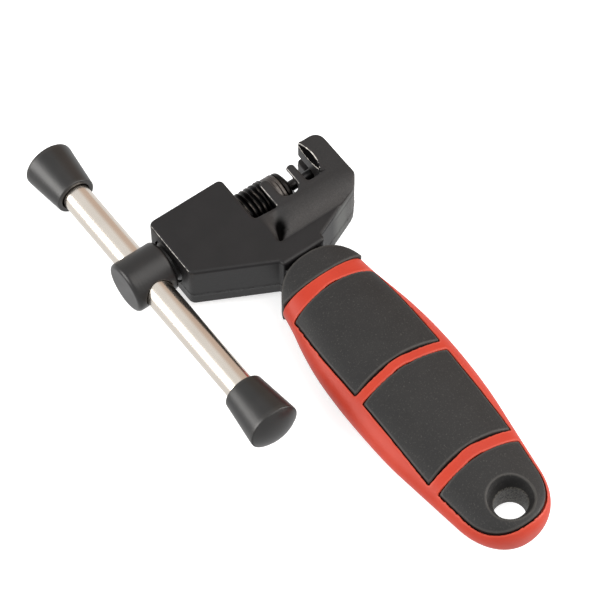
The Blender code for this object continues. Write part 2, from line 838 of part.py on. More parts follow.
def make_core():
    """The red body: its neck under the collar, its pad pockets, and the tang's slot."""
    mesh = handle_mesh("handle_core", CORE_TOP, HANDLE_END)
    core = solid("handle_core", mesh, PARTS, RED_PLASTIC)
    neck = cutter(
        "core_neck",
        neck_mesh("core_neck", CORE_TOP - COLLAR_LAP, 0.0),
    )
    combine(core, neck, "UNION")
    for label, span in (("upper", PAD_UPPER), ("middle", PAD_MIDDLE), ("end", PAD_END)):
        for face, side in (("front", 1), ("back", -1)):
            pocket = cutter(
                f"pocket_{label}_{face}",
                pad_mesh("pocket", span, side, GAP, 4.0 * MM, PAD_DEPTH + GAP),
            )
            combine(core, pocket, "DIFFERENCE")
    slot = cutter(
        "tang_slot",
        block_mesh(
            "tang_slot",
            (HANDLE_X - TANG_HALF_WIDTH - GAP, TANG_END - GAP, -TANG_HALF - GAP),
            (HANDLE_X + TANG_HALF_WIDTH + GAP, -CORE_TOP + COLLAR_LAP + 2.0 * MM, TANG_HALF + GAP),
        ),
    )
    combine(core, slot, "DIFFERENCE")
    radius = HOLE_R + LINER_WALL + GAP
    bore = cutter("core_bore", hole_mesh("core_bore", radius, -12 * MM, 12 * MM))
    combine(core, bore, "DIFFERENCE")
    return core


def make_collar():
    """The black sleeve that closes the head end of the handle, arched in plan."""
    outline = []
    base = COLLAR_BASE + 2.0 * MM
    for step in range(33):
        a = pi * step / 32
        c = cos(a)
        s = sin(a)
        power = 2 / COLLAR_POWER
        outline.append(
            (
                HANDLE_X + COLLAR_HALF_WIDTH * (1 if c > 0 else -1) * abs(c) ** power,
                -COLLAR_BASE + (COLLAR_BASE - COLLAR_TOP) * abs(s) ** power,
            )
        )
    outline.append((HANDLE_X - COLLAR_HALF_WIDTH - 2 * MM, -base))
    outline.append((HANDLE_X + COLLAR_HALF_WIDTH + 2 * MM, -base))
    places = np.linspace(COLLAR_TOP - 1.0 * MM, CORE_TOP - GAP, 8)
    rings = np.stack([collar_ring(down) for down in places])
    mesh = grid_solid("grip_collar", rings, None, None)
    collar = solid("grip_collar", mesh, PARTS, BLACK_RUBBER)
    arch = cutter("collar_arch", slab_mesh("collar_arch", outline, 12 * MM))
    combine(collar, arch, "INTERSECT")
    seat = cutter(
        "collar_seat",
        neck_mesh("collar_seat", CORE_TOP - COLLAR_LAP - GAP, GAP),
    )
    combine(collar, seat, "DIFFERENCE")
    throat = cutter(
        "collar_throat",
        block_mesh(
            "collar_throat",
            (NECK_LEFT + 1.0 * MM - GAP, -CORE_TOP, -THROAT_HALF - GAP),
            (NECK_RIGHT - 1.0 * MM + GAP, -COLLAR_TOP + 3.0 * MM, THROAT_HALF + GAP),
        ),
    )
    combine(collar, throat, "DIFFERENCE")
    return collar


def collar_ring(down):
    """A ring of the collar before its plan is arched: as wide as its base."""
    angle = np.linspace(0, 2 * pi, 40, endpoint=False) + pi / 40
    c = np.cos(angle)
    s = np.sin(angle)
    power = 2 / SECTION_POWER
    wide = COLLAR_HALF_WIDTH + 0.6 * MM
    tall = float(smooth_row(down, 2)) + PAD_PROUD
    return np.stack(
        [
            HANDLE_X + wide * np.sign(c) * np.abs(c) ** power,
            np.full(40, -down),
            tall * np.sign(s) * np.abs(s) ** power,
        ],
        axis=1,
    )


def make_pad(name, span, side):
    """One grip pad in its pocket."""
    return solid(name, pad_mesh(name, span, side), PARTS, BLACK_RUBBER)


def make_end_grip():
    """The end pads of both faces and the lining of the hanging hole, moulded as one."""
    grip = solid("grip_end", pad_mesh("grip_end", PAD_END, 1), PARTS, BLACK_RUBBER)
    back = cutter("grip_end_back", pad_mesh("grip_end_back", PAD_END, -1))
    combine(grip, back, "UNION")
    face = float(crown(0.0, -HOLE_Y))
    reach = face - 0.6 * MM
    lining = cutter("hole_lining", hole_mesh("hole_lining", HOLE_R + LINER_WALL, -reach, reach, 29))
    combine(grip, lining, "UNION")
    profile = [
        (0.0, face + 3.0 * MM),
        (DISH_R + 0.6 * MM, face + 3.0 * MM),
        (DISH_R, face),
        (DISH_R - 0.9 * MM, face - 1.3 * MM),
        (HOLE_R, face - DISH_DEPTH),
    ]
    profile += [(radius, -height) for radius, height in reversed(profile)]
    place = Matrix.Translation((HOLE_X, HOLE_Y, 0)) @ Matrix.Diagonal((HOLE_STRETCH, 1, 1, 1))
    hanging = cutter("hanging_hole", turned_mesh("hanging_hole", profile, place, 36))
    combine(grip, hanging, "DIFFERENCE")
    return grip


def set_origin(obj, place):
    """Puts an object's origin at a place without moving its mesh."""
    obj.data.transform(Matrix.Translation(-Vector(place)))
    obj.location = place


# ---------------------------------------------------------------- build

clear_scene()
PARTS = new_collection("chain_tool")
CUTTERS = new_collection("cutters")
CUTTERS.hide_render = True

BLACK_CASTING = finish("black_casting", (0.035, 0.033, 0.034), 0.0, 0.42)
BLACK_STEEL = finish("black_steel", (0.03, 0.03, 0.031), 0.6, 0.38)
DARK_STEEL = finish("dark_steel", (0.09, 0.075, 0.068), 0.8, 0.4)
PIN_STEEL = finish("pin_steel", (0.03, 0.03, 0.03), 0.7, 0.4)
CHROME = finish("chrome", (0.72, 0.69, 0.66), 1.0, 0.16)
CAP_PLASTIC = finish("cap_plastic", (0.036, 0.034, 0.034), 0.0, 0.35)
RED_PLASTIC = finish("red_plastic", (0.66, 0.055, 0.035), 0.0, 0.42)
BLACK_RUBBER = finish("black_rubber", (0.045, 0.043, 0.042), 0.0, 0.7)

head_frame = make_head()
spindle = make_spindle()
pin_holder = make_pin_holder()
drive_pin = make_pin()
tommy_bar = make_bar()
bar_cap_far = make_cap("bar_cap_far", 1)
bar_cap_near = make_cap("bar_cap_near", -1)
handle_core = make_core()
grip_collar = make_collar()
pads = [
    make_pad("grip_upper_front", PAD_UPPER, 1),
    make_pad("grip_upper_back", PAD_UPPER, -1),
    make_pad("grip_middle_front", PAD_MIDDLE, 1),
    make_pad("grip_middle_back", PAD_MIDDLE, -1),
    make_end_grip(),
]

# The moving pieces turn on the spindle's axis, and slide from the cross hole's middle.
BAR_CENTRE = (BAR_X, 0.0, 0.0)
for piece in (spindle, pin_holder, drive_pin):
    set_origin(piece, (0.0, 0.0, 0.0))
for piece in (tommy_bar, bar_cap_far, bar_cap_near):
    set_origin(piece, BAR_CENTRE)

# The tool's box stands on Z = 0 and is centred on X and Y.
bpy.context.view_layer.update()
graph = bpy.context.evaluated_depsgraph_get()
corners = []
for piece in PARTS.objects:
    shape = piece.evaluated_get(graph)
    made = shape.to_mesh()
    place = np.array(shape.matrix_world)
    flat = np.empty(len(made.vertices) * 3, np.float32)
    made.vertices.foreach_get("co", flat)
    corners.append(flat.reshape(-1, 3) @ place[:3, :3].T + place[:3, 3])
    shape.to_mesh_clear()
corners = np.concatenate(corners)
low = corners.min(axis=0)
high = corners.max(axis=0)

root = bpy.data.objects.new("chain_tool_frame", None)
root.empty_display_size = 0.02
PARTS.objects.link(root)
root.location = (-(low[0] + high[0]) / 2, -(low[1] + high[1]) / 2, -low[2])
for piece in [*PARTS.objects, *CUTTERS.objects]:
    if piece is not root:
        piece.parent = root
bpy.context.view_layer.update()
print("root location (mm):", [round(value * 1000, 4) for value in root.location])
print("tool box (mm):", [round(float(value) * 1000, 3) for value in high - low])
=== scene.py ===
"""The looks of a bicycle chain tool: cast head, screw spindle, tommy bar and gripped handle.

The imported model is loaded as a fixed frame. Each sub-assembly is a class whose sizes are in
millimetres, measured from the spindle's axis: X runs along the spindle towards the anvil, Y from
the handle towards the head, and Z out of the front face. `at_axis` carries a piece from there
to the frame's own place, in metres.
"""

from __future__ import annotations

import json
import logging
from dataclasses import dataclass
from enum import Enum
from math import cos, pi, radians, sin, tan
from typing import Callable, Iterable, Sequence, Union

import bpy
import numpy as np
from mathutils import Matrix, Vector


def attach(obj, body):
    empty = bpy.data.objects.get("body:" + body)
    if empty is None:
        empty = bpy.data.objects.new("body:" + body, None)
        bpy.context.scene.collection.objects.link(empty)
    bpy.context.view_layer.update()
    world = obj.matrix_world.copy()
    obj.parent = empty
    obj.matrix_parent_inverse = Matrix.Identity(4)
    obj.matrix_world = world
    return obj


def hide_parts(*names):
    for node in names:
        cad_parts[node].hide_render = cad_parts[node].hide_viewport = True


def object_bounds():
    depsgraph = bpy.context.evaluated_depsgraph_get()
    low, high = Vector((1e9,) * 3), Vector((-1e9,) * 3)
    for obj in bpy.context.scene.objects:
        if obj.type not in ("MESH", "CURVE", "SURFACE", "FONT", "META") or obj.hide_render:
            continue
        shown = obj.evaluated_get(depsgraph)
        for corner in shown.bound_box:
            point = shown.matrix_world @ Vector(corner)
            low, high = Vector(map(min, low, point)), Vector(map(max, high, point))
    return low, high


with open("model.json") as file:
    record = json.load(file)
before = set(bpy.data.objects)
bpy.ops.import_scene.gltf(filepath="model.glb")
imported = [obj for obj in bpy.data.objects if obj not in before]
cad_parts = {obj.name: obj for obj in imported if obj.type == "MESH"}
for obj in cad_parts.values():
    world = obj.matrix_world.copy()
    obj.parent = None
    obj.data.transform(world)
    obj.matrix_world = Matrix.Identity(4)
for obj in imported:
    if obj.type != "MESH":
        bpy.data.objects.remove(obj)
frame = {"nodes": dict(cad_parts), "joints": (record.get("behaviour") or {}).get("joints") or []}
CAD_BOX = [list(corner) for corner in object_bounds()]

LOG = logging.getLogger("chain_tool")
MM = 0.001
JOINTS = {joint["name"]: joint for joint in frame["joints"]}
SPINDLE_AXIS = np.array(JOINTS["spindle_feed"]["pos_m"])
BAR_MIDDLE = np.array(JOINTS["bar_slide"]["pos_m"])
BAR_LINE = np.array(JOINTS["bar_slide"]["axis"])
Array = np.ndarray
Mesh = bpy.types.Mesh
Piece = bpy.types.Object
Material = bpy.types.Material
Socket = bpy.types.NodeSocket
Colour = tuple[float, float, float]
Point = tuple[float, float, float]
Table = tuple[tuple[float, ...], ...]
Carry = Callable[[Array], Array]
PAD_SPANS = {"upper": (34.4, 61.7), "middle": (65.0, 92.2), "end": (96.0, 117.3)}
BEYOND = 12.0  # half the length of a cutting tool, in millimetres: past both faces of any piece
ARC_STEPS = 6  # along each rounded corner of a profile


class Body(Enum):
    """The bodies that pieces ride on."""

    FRAME = "frame"
    FEED = "feed"
    SCREW = "screw"
    BAR = "bar"


class Slot(Enum):
    """The material slots of the record."""

    CASTING = "black_casting"
    BLACK_STEEL = "black_steel"
    DARK_STEEL = "dark_steel"
    PIN = "pin_steel"
    CHROME = "chrome"
    CAP = "cap_plastic"
    RED = "red_plastic"
    RUBBER = "black_rubber"


# ---------------------------------------------------------------- surfaces


def at_axis(points: Array) -> Array:
    """Millimetres from the spindle's axis to metres in the frame."""
    return points * MM + SPINDLE_AXIS


def along_spindle(points: Array) -> Array:
    """Millimetres turned about Z to metres in the frame: heights run along the spindle."""
    return at_axis(stacked(points[..., 2], points[..., 1], -points[..., 0]))


def along_bar(points: Array) -> Array:
    """Millimetres turned about Z to metres in the frame: heights run along the tommy bar."""
    side = np.array([1.0, 0.0, 0.0])
    other = np.cross(BAR_LINE, side)
    x, y, z = np.moveaxis(points[..., None], -2, 0)
    return (x * side + y * other + z * BAR_LINE) * MM + BAR_MIDDLE


def rise(values: Array, start: float, span: float) -> Array:
    """A straight rise from 0 at start to 1 at start + span, level before and after."""
    return np.clip((values - start) / span, 0, 1)


def fall(values: Array, end: float, span: float) -> Array:
    """A straight fall from 1 at end - span to 0 at end, level before and after."""
    return np.clip((end - values) / span, 0, 1)


def closing(share: Array, power: float) -> Array:
    """(1 - t^p)^(1/p), which falls from 1 at t = 0 and closes squarely to 0 at t = 1."""
    return (1 - share**power) ** (1 / power)


def stacked(x: Array, y: Array, z: Array) -> Array:
    """Places from their coordinates, each spread to the shape that all of them make."""
    return np.stack(np.broadcast_arrays(x, y, z), axis=-1)


def steps_round(around: int) -> Array:
    """Even steps of angle round a circle, from 0."""
    return np.linspace(0, 2 * pi, around, endpoint=False)


def on_axis(first: float, last: float) -> Array:
    """The two poles of a piece turned about Z, from their heights."""
    return np.array([[0.0, 0.0, first], [0.0, 0.0, last]])


def squared_circle(angle: Array, power: float) -> tuple[Array, Array]:
    """The cosine and sine of an angle, each raised to a power with its sign kept."""
    c, s = np.cos(angle), np.sin(angle)
    return np.sign(c) * np.abs(c) ** power, np.sign(s) * np.abs(s) ** power


def rings_of(radii: Array, heights: Array, around: int) -> Array:
    """Rings about Z, (r cos t, r sin t, h), from rows of radii and heights."""
    angle = steps_round(around)
    return stacked(radii * np.cos(angle), radii * np.sin(angle), heights)


def mesh_from(points: Array, faces: Array) -> Mesh:
    """A mesh from whole arrays, with its faces pointing outwards.

    The signed volume of a closed mesh is the sum of a . (b x c) over its triangles: where it
    is negative the faces are turned round.

    Args:
        points: (n, 3) places in metres.
        faces: (m, 4) corner numbers. A repeated last corner marks a triangle.

    Returns:
        The mesh, shaded smooth.
    """
    triangles = np.concatenate([faces[:, [0, 1, 2]], faces[:, [0, 2, 3]]])
    a, b, c = (points[triangles[:, k]] - points.mean(axis=0) for k in range(3))
    if np.einsum("ij,ij->i", a, np.cross(b, c)).sum() < 0:
        faces = faces[:, ::-1]
        repeat_first = (faces[:, 0] == faces[:, 1])[:, None]
        faces = np.where(repeat_first, np.roll(faces, -2, axis=1), faces)
    counts = np.where(faces[:, 3] == faces[:, 2], 3, 4).astype(np.int32)
    loops = faces[np.arange(4) < counts[:, None]].astype(np.int32)
    starts = np.concatenate([[0], np.cumsum(counts)[:-1]]).astype(np.int32)
    mesh = bpy.data.meshes.new("surface")
    mesh.vertices.add(len(points))
    mesh.vertices.foreach_set("co", points.astype(np.float32).ravel())
    mesh.loops.add(len(loops))
    mesh.loops.foreach_set("vertex_index", loops)
    mesh.polygons.add(len(counts))
    mesh.polygons.foreach_set("loop_start", starts)
    mesh.update(calc_edges=True)
    mesh.validate()
    mesh.shade_smooth()
    return mesh


def wrapped_surface(rings: Array, poles: Array) -> Mesh:
    """A closed surface through rings, with a pole at each end.

    Args:
        rings: (rows, around, 3) places in metres. Each ring closes on itself.
        poles: (2, 3) places of the pole before the first ring and of the one after the last.

    Returns:
        The mesh.
    """
    rows, around, _ = rings.shape
    k = np.arange(around)
    after = (k + 1) % around
    row = np.arange(rows - 1)[:, None] * around
    quads = np.stack([row + k, row + after, row + after + around, row + k + around], axis=-1)
    pole = np.full(around, rows * around)
    base = (rows - 1) * around
    top = np.stack([after, k, pole, pole], axis=-1)
    low = np.stack([base + k, base + after, pole + 1, pole + 1], axis=-1)
    points = np.concatenate([rings.reshape(-1, 3), poles])
    return mesh_from(points, np.concatenate([quads.reshape(-1, 4), top, low]))


def softened(*corners: Point) -> Array:
    """A profile whose corners are rounded by arcs.

    At a corner whose sides meet at an angle a, the arc starts and ends r / tan(a / 2) from it
    and its centre lies r / sin(a / 2) along their bisector.

    Args:
        corners: (radius, height, rounding) for each corner and both ends.

    Returns:
        (n, 2) array of radius and height.
    """
    points = []
    for index, (x, y, rounding) in enumerate(corners):
        here = np.array([x, y])
        if rounding <= 0 or index in (0, len(corners) - 1):
            points.append(here[None, :])
            continue
        sides = [np.array(corners[index + way][:2]) - here for way in (-1, 1)]
        before, after = (side / np.linalg.norm(side) for side in sides)
        half = np.arccos(np.clip(before @ after, -1, 1)) / 2
        middle = here + (before + after) / np.linalg.norm(before + after) * rounding / sin(half)
        start = here + before * rounding / tan(half) - middle
        end = here + after * rounding / tan(half) - middle
        share = np.linspace(0, 1, ARC_STEPS + 1)[:, None]
        sweep = pi - 2 * half
        arc = np.sin((1 - share) * sweep) * start + np.sin(share * sweep) * end
        points.append(middle + arc / sin(sweep))
    return np.concatenate(points)


def finely(profile: Array, step: float) -> Array:
    """A profile with extra points, so that no stretch of it is longer than step.

    Args:
        profile: (n, 2) array of radius and height.
        step: the longest stretch, in millimetres.

    Returns:
        The longer profile.
    """
    parts = []
    for start, end in zip(profile[:-1], profile[1:]):
        count = max(1, int(np.ceil(np.linalg.norm(end - start) / step)))
        parts.append(start + (end - start) * np.arange(count)[:, None] / count)
    return np.concatenate([*parts, profile[-1:]])


def turned(profile: Array, carry: Carry, around: int) -> Mesh:
    """A turned surface, (r cos t, r sin t, h), carried into the frame. Its ends are on the axis."""
    rings = rings_of(profile[1:-1, 0:1], profile[1:-1, 1:2], around)
    return wrapped_surface(carry(rings), carry(on_axis(profile[0, 1], profile[-1, 1])))


def piece_of(name: str, data: bpy.types.ID) -> Piece:
    """A mesh, a lamp or a camera as an object at the origin, linked to the scene."""
    data.name = name
    obj = bpy.data.objects.new(name, data)
    bpy.context.scene.collection.objects.link(obj)
    return obj


def settled(obj: Piece) -> None:
    """Makes an object's modifiers part of its mesh, and shades it smooth."""
    graph = bpy.context.evaluated_depsgraph_get()
    mesh = bpy.data.meshes.new_from_object(obj.evaluated_get(graph))
    mesh.name = obj.name
    obj.modifiers.clear()
    obj.data = mesh
    mesh.shade_smooth()


def cut(obj: Piece, tools: Iterable[Mesh], operation: str = "DIFFERENCE") -> None:
    """Cuts an object with closed meshes, or joins them to it.

    Args:
        obj: the object that changes.
        tools: the meshes that cut it.
        operation: DIFFERENCE, UNION or INTERSECT.
    """
    helpers = [piece_of("cutting_tool", mesh) for mesh in tools]
    for helper in helpers:
        modifier = obj.modifiers.new("cut", "BOOLEAN")
        modifier.operation = operation
        modifier.solver = "EXACT"
        modifier.object = helper
    settled(obj)
    for helper in helpers:
        bpy.data.objects.remove(helper, do_unlink=True)


def moulded(obj: Piece, cell: float, passes: int, keep: float = 1.0) -> None:
    """Remakes a surface as an even skin whose edges are softened, as a mould leaves them.

    Args:
        obj: the object.
        cell: the skin's cell, in millimetres.
        passes: smoothing passes. Each one moves a point half way to its neighbours' mean.
        keep: the share of the skin's triangles that stays. The flats lose theirs first.
    """
    skin = obj.modifiers.new("skin", "REMESH")
    skin.mode = "VOXEL"
    skin.voxel_size = cell * MM
    soft = obj.modifiers.new("soft", "SMOOTH")
    soft.factor = 0.5
    soft.iterations = passes
    if keep < 1:
        obj.modifiers.new("fewer", "DECIMATE").ratio = keep
    settled(obj)


def places_of(mesh: Mesh) -> Array:
    """The places of a mesh's points, as an (n, 3) array in metres."""
    flat = np.empty(len(mesh.vertices) * 3, np.float32)
    mesh.vertices.foreach_get("co", flat)
    return flat.reshape(-1, 3).astype(float)


def places_from_axis(mesh: Mesh) -> Array:
    """The places of a mesh's points from the spindle's axis, in millimetres."""
    return (places_of(mesh) - SPINDLE_AXIS) / MM


def normals_of(mesh: Mesh) -> Array:
    """The normals at a mesh's points, as an (n, 3) array."""
    flat = np.empty(len(mesh.vertices) * 3, np.float32)
    mesh.vertex_normals.foreach_get("vector", flat)
    return flat.reshape(-1, 3)


def note(mesh: Mesh, **notes: Array) -> None:
    """Writes numbers at a mesh's points, which a material reads by their names."""
    for label, values in notes.items():
        layer = mesh.attributes.new(label, "FLOAT", "POINT")
        layer.data.foreach_set("value", values.astype(np.float32))


def note_edges(obj: Piece, reach: float = 0.6) -> None:
    """Writes how convex the surface is at each point, for wear on edges and painted shade in corners.

    The bend at a point is the mean over its edges of (n_i - n_j) . (p_i - p_j) / |p_i - p_j|^2,
    in 1/mm, spread a little over its neighbours. `edge` is its positive part and `corner` its
    negative part, each limited to 1.

    Args:
        obj: the object. Its mesh gets two point attributes.
        reach: the bend that counts as a full edge, in 1/mm.
    """
    mesh = obj.data
    count = len(mesh.vertices)
    places = places_of(mesh) / MM
    normals = normals_of(mesh)
    pairs = np.empty(len(mesh.edges) * 2, np.int32)
    mesh.edges.foreach_get("vertices", pairs)
    a, b = pairs.reshape(-1, 2).T
    apart = places[a] - places[b]
    length = np.maximum(np.einsum("ij,ij->i", apart, apart), 1e-6)
    bend = np.einsum("ij,ij->i", normals[a] - normals[b], apart) / length
    share = np.bincount(a, minlength=count) + np.bincount(b, minlength=count)
    share = np.maximum(share, 1)
    value = (np.bincount(a, bend, count) + np.bincount(b, bend, count)) / share
    for _ in range(2):
        spread = np.bincount(a, value[b], count) + np.bincount(b, value[a], count)
        value = 0.5 * value + 0.5 * spread / share
    note(mesh, edge=np.clip(value / reach, 0, 1), corner=np.clip(-value / reach, 0, 1))


def turned_piece(
    name: str, corners: Sequence[Point], step: float, carry: Carry, around: int = 96
) -> Piece:
    """A turned piece, its edges noted, from (radius, height, rounding) at each corner."""
    obj = piece_of(name, turned(finely(softened(*corners), step), carry, around))
    note_edges(obj)
    return obj


# ---------------------------------------------------------------- finishes


def linear(red: int, green: int, blue: int) -> Colour:
    """A display colour of 0 to 255 as the linear colour that a shader takes."""
    parts = np.array([red, green, blue]) / 255
    made = np.where(parts <= 0.04045, parts / 12.92, ((parts + 0.055) / 1.055) ** 2.4)
    return (float(made[0]), float(made[1]), float(made[2]))


Number = Union["Value", float, int]
Output = Union[int, str]
WHITE = (1.0, 1.0, 1.0)


def maths(operation: str, swapped: bool = False) -> Callable[["Value", Number], "Value"]:
    """An operator of Value, made by one Math node of two inputs.

    Args:
        operation: the Math node's operation.
        swapped: True for the reflected form, where the other number comes first.

    Returns:
        The operator.
    """

    def operator(self: "Value", other: Number) -> "Value":
        """The Math node's output."""
        first, second = (other, self) if swapped else (self, other)
        return self.paint.value("ShaderNodeMath", {"operation": operation}, {0: first, 1: second})

    return operator


class Value:
    """A number that varies over a surface. Arithmetic on it adds Math nodes."""

    __add__ = maths("ADD")
    __radd__ = maths("ADD", True)
    __sub__ = maths("SUBTRACT")
    __rsub__ = maths("SUBTRACT", True)
    __mul__ = maths("MULTIPLY")
    __rmul__ = maths("MULTIPLY", True)

    def __init__(self, paint: "Paint", socket: Socket) -> None:
        """Wraps an output socket of a paint's tree."""
        self.paint = paint
        self.socket = socket

    def spread(self, low: float, high: float) -> "Value":
        """0 below low and 1 above high, with a smooth step between them."""
        settings = {"interpolation_type": "SMOOTHSTEP"}
        return self.paint.value("ShaderNodeMapRange", settings, {0: self, 1: low, 2: high})


class Nodes:
    """A node tree, and the one way in which nodes are added to it."""

    def __init__(self, tree: bpy.types.NodeTree) -> None:
        """Takes a material's or a world's tree."""
        self.tree = tree

    def reached_by(self, kind: str) -> Socket:
        """1 where a ray of a kind reaches the surface, such as Glossy, and 0 elsewhere."""
        return self.node("ShaderNodeLightPath", {}, {}, f"Is {kind} Ray")

    def node(self, kind: str, settings: dict, inputs: dict, output: Output = 0) -> Socket:
        """Any node.

        Args:
            kind: the node's type.
            settings: its properties, set before its sockets. `stops` fills a colour ramp.
            inputs: socket name or number to a value, a socket or a Value.
            output: the name or number of the socket that is returned.

        Returns:
            The output socket.
        """
        made = self.tree.nodes.new(kind)
        for label, setting in settings.items():
            if label == "stops":
                self._stops(made.color_ramp, setting)
            else:
                setattr(made, label, setting)
        for label, given in inputs.items():
            self.join(made.inputs[label], given)
        return made.outputs[output]

    def _stops(self, ramp: bpy.types.ColorRamp, stops: Sequence[tuple[float, Colour]]) -> None:
        """Fills a colour ramp with (place, colour) stops."""
        while len(ramp.elements) < len(stops):
            ramp.elements.new(1.0)
        for element, (place, colour) in zip(ramp.elements, stops):
            element.position = place
            element.color = (*colour, 1.0)

    def join(self, socket: Socket, given: object) -> None:
        """Sets a socket to a value, or links it to another socket."""
        if isinstance(given, Value):
            given = given.socket
        if isinstance(given, Socket):
            self.tree.links.new(given, socket)
        elif isinstance(given, tuple) and socket.type == "RGBA":
            socket.default_value = (*given, 1.0)
        else:
            socket.default_value = given


class Paint(Nodes):
    """A material's node tree, with its Principled shader."""

    def __init__(self, name: str) -> None:
        """Starts a material with an empty Principled shader."""
        self.material = bpy.data.materials.new(name)
        self.material.use_nodes = True
        super().__init__(self.material.node_tree)
        self.shader = self.tree.nodes["Principled BSDF"]
        self.place = self.node("ShaderNodeTexCoord", {}, {}, "Object")

    def value(self, kind: str, settings: dict, inputs: dict, output: Output = 0) -> Value:
        """Any node whose output is a number, wrapped for arithmetic."""
        return Value(self, self.node(kind, settings, inputs, output))

    def drawn_out(self, scale: Point) -> Socket:
        """Object coordinates scaled along each axis, for a pattern that runs one way."""
        return self.node("ShaderNodeMapping", {}, {"Vector": self.place, "Scale": scale})

    def noise(self, size: float, detail: float, rough: float = 0.5, place: object = None) -> Value:
        """Noise between 0 and 1.

        Args:
            size: the size of its spots, in millimetres.
            detail: how many finer layers it has.
            rough: how strong the finer layers are.
            place: the coordinates, or None for the object's own.

        Returns:
            The noise.
        """
        inputs = {
            "Vector": self.place if place is None else place,
            "Scale": 1 / (size * MM),
            "Detail": detail,
            "Roughness": rough,
        }
        return self.value("ShaderNodeTexNoise", {}, inputs)

    def grains(self, size: float) -> Value:
        """Distance to the nearest of many scattered points, in cells of the given size."""
        inputs = {"Vector": self.place, "Scale": 1 / (size * MM)}
        return self.value("ShaderNodeTexVoronoi", {}, inputs, "Distance")

    def noted(self, name: str) -> Value:
        """A number that the mesh carries at each point."""
        return self.value("ShaderNodeAttribute", {"attribute_name": name}, {}, "Fac")

    def layered(self, base: Colour, *coats: tuple[Number, Colour]) -> Socket:
        """A colour with others laid over it in turn, each by its share."""
        colour = base
        for share, coat in coats:
            inputs = {0: share, 6: colour, 7: coat}
            colour = self.node("ShaderNodeMix", {"data_type": "RGBA"}, inputs, 2)
        return colour

    def relief(self, height: Value, depth: float) -> Socket:
        """A normal from a height of 0 to 1 that stands for depth millimetres."""
        inputs = {"Height": height, "Distance": depth * MM, "Strength": 1.0}
        return self.node("ShaderNodeBump", {}, inputs)

    def dress(self, **sockets: object) -> Material:
        """Sets the shader's sockets, with _ for a space in a name, and gives the material."""
        for label, given in sockets.items():
            self.join(self.shader.inputs[label.replace("_", " ")], given)
        return self.material


@dataclass(frozen=True)
class PaintedCasting:
    """Satin black coat over a cast surface: smooth on the boss, grainy round the chain seat.

    The facing cuts leave thin bare edges where the coat stops, chipped here and there, painted
    bright as glints of light. Painted shade darkens the corners, the valley, the lens and the gap
    by the boss; the jaw's outer walls and ramps are painted paler where light falls on them.
    """

    coat: Colour = linear(15, 14, 15)
    blotch: Colour = linear(22, 20, 21)
    edge: Colour = linear(64, 61, 59)
    # Grey cast grain on the ramps, also painted paler where light falls on them.
    raw: Colour = linear(66, 64, 63)
    # Painted light: the paler colour of the jaw's outer walls, as lit.
    flank: Colour = linear(92, 93, 90)
    # Bare metal on cut edges, painted bright as glints of light.
    bare: Colour = linear(205, 200, 193)
    # Painted shade: near black for the valley, the lens, the gap by the boss and corners; also dark
    # seam lines.
    dirt: Colour = linear(5, 5, 5)

    def make(self) -> Material:
        """The material of the cast head."""
        paint = Paint("painted_casting")
        clouds = paint.noise(7.0, 3.0)
        grain = paint.noise(0.5, 3.0, 0.6)
        peel = paint.noise(1.6, 2.0)
        sand = paint.noise(0.34, 2.0, 0.7)
        chips = paint.noise(1.1, 3.0, 0.6)
        # Cast grain at the foot of the ramps, painted paler where light falls there.
        rough = paint.noted("as_cast")
        # Painted shade deep in the valley, in the lens and in the gap by the boss, and dark seam
        # lines.
        grime = paint.noted("grime")
        # Painted light: the jaw's outer walls are made paler and more reflective, as lit.
        flank = paint.noted("flank")
        worn = paint.noted("edge") * (0.35 + 0.65 * paint.noise(2.2, 4.0).spread(0.35, 0.75))
        # Bare cut edges, chipped, painted bright as glints of light.
        cut = paint.noted("faced") * (0.6 + 0.4 * chips.spread(0.36, 0.6))
        colour = paint.layered(
            self.coat,
            (clouds.spread(0.3, 0.7) * 0.6, self.blotch),
            (flank * (0.7 + 0.5 * grain), self.flank),
            (rough * (0.3 + 0.9 * grain), self.raw),
            (sand.spread(0.56, 0.7) * rough * 0.7, self.edge),
            (worn.spread(0.5, 1.0) * 0.7, self.edge),
            # Painted shade in concave corners.
            (paint.noted("corner") * 0.8, self.dirt),
            # Painted shade in the valley, the lens and the gap by the boss, and dark seam lines.
            (grime * 0.95, self.dirt),
            # Bare cut edges painted bright as glints.
            (cut.spread(0.3, 0.8) * 0.9, self.bare),
        )
        return paint.dress(
            Base_Color=colour,
            # Near black metal darkens the reflections where shade is painted; the lit walls are made
            # more reflective as painted light.
            Metallic=grime * 0.95 + flank * 0.6 * (1 - grime),
            Roughness=0.4 + grain * 0.12 - worn * 0.08 + grime * 0.3,
            Normal=paint.relief(grain * 0.3 + peel * 0.3 + sand * rough * 1.6, 0.05),
            Specular_IOR_Level=0.3,
        )


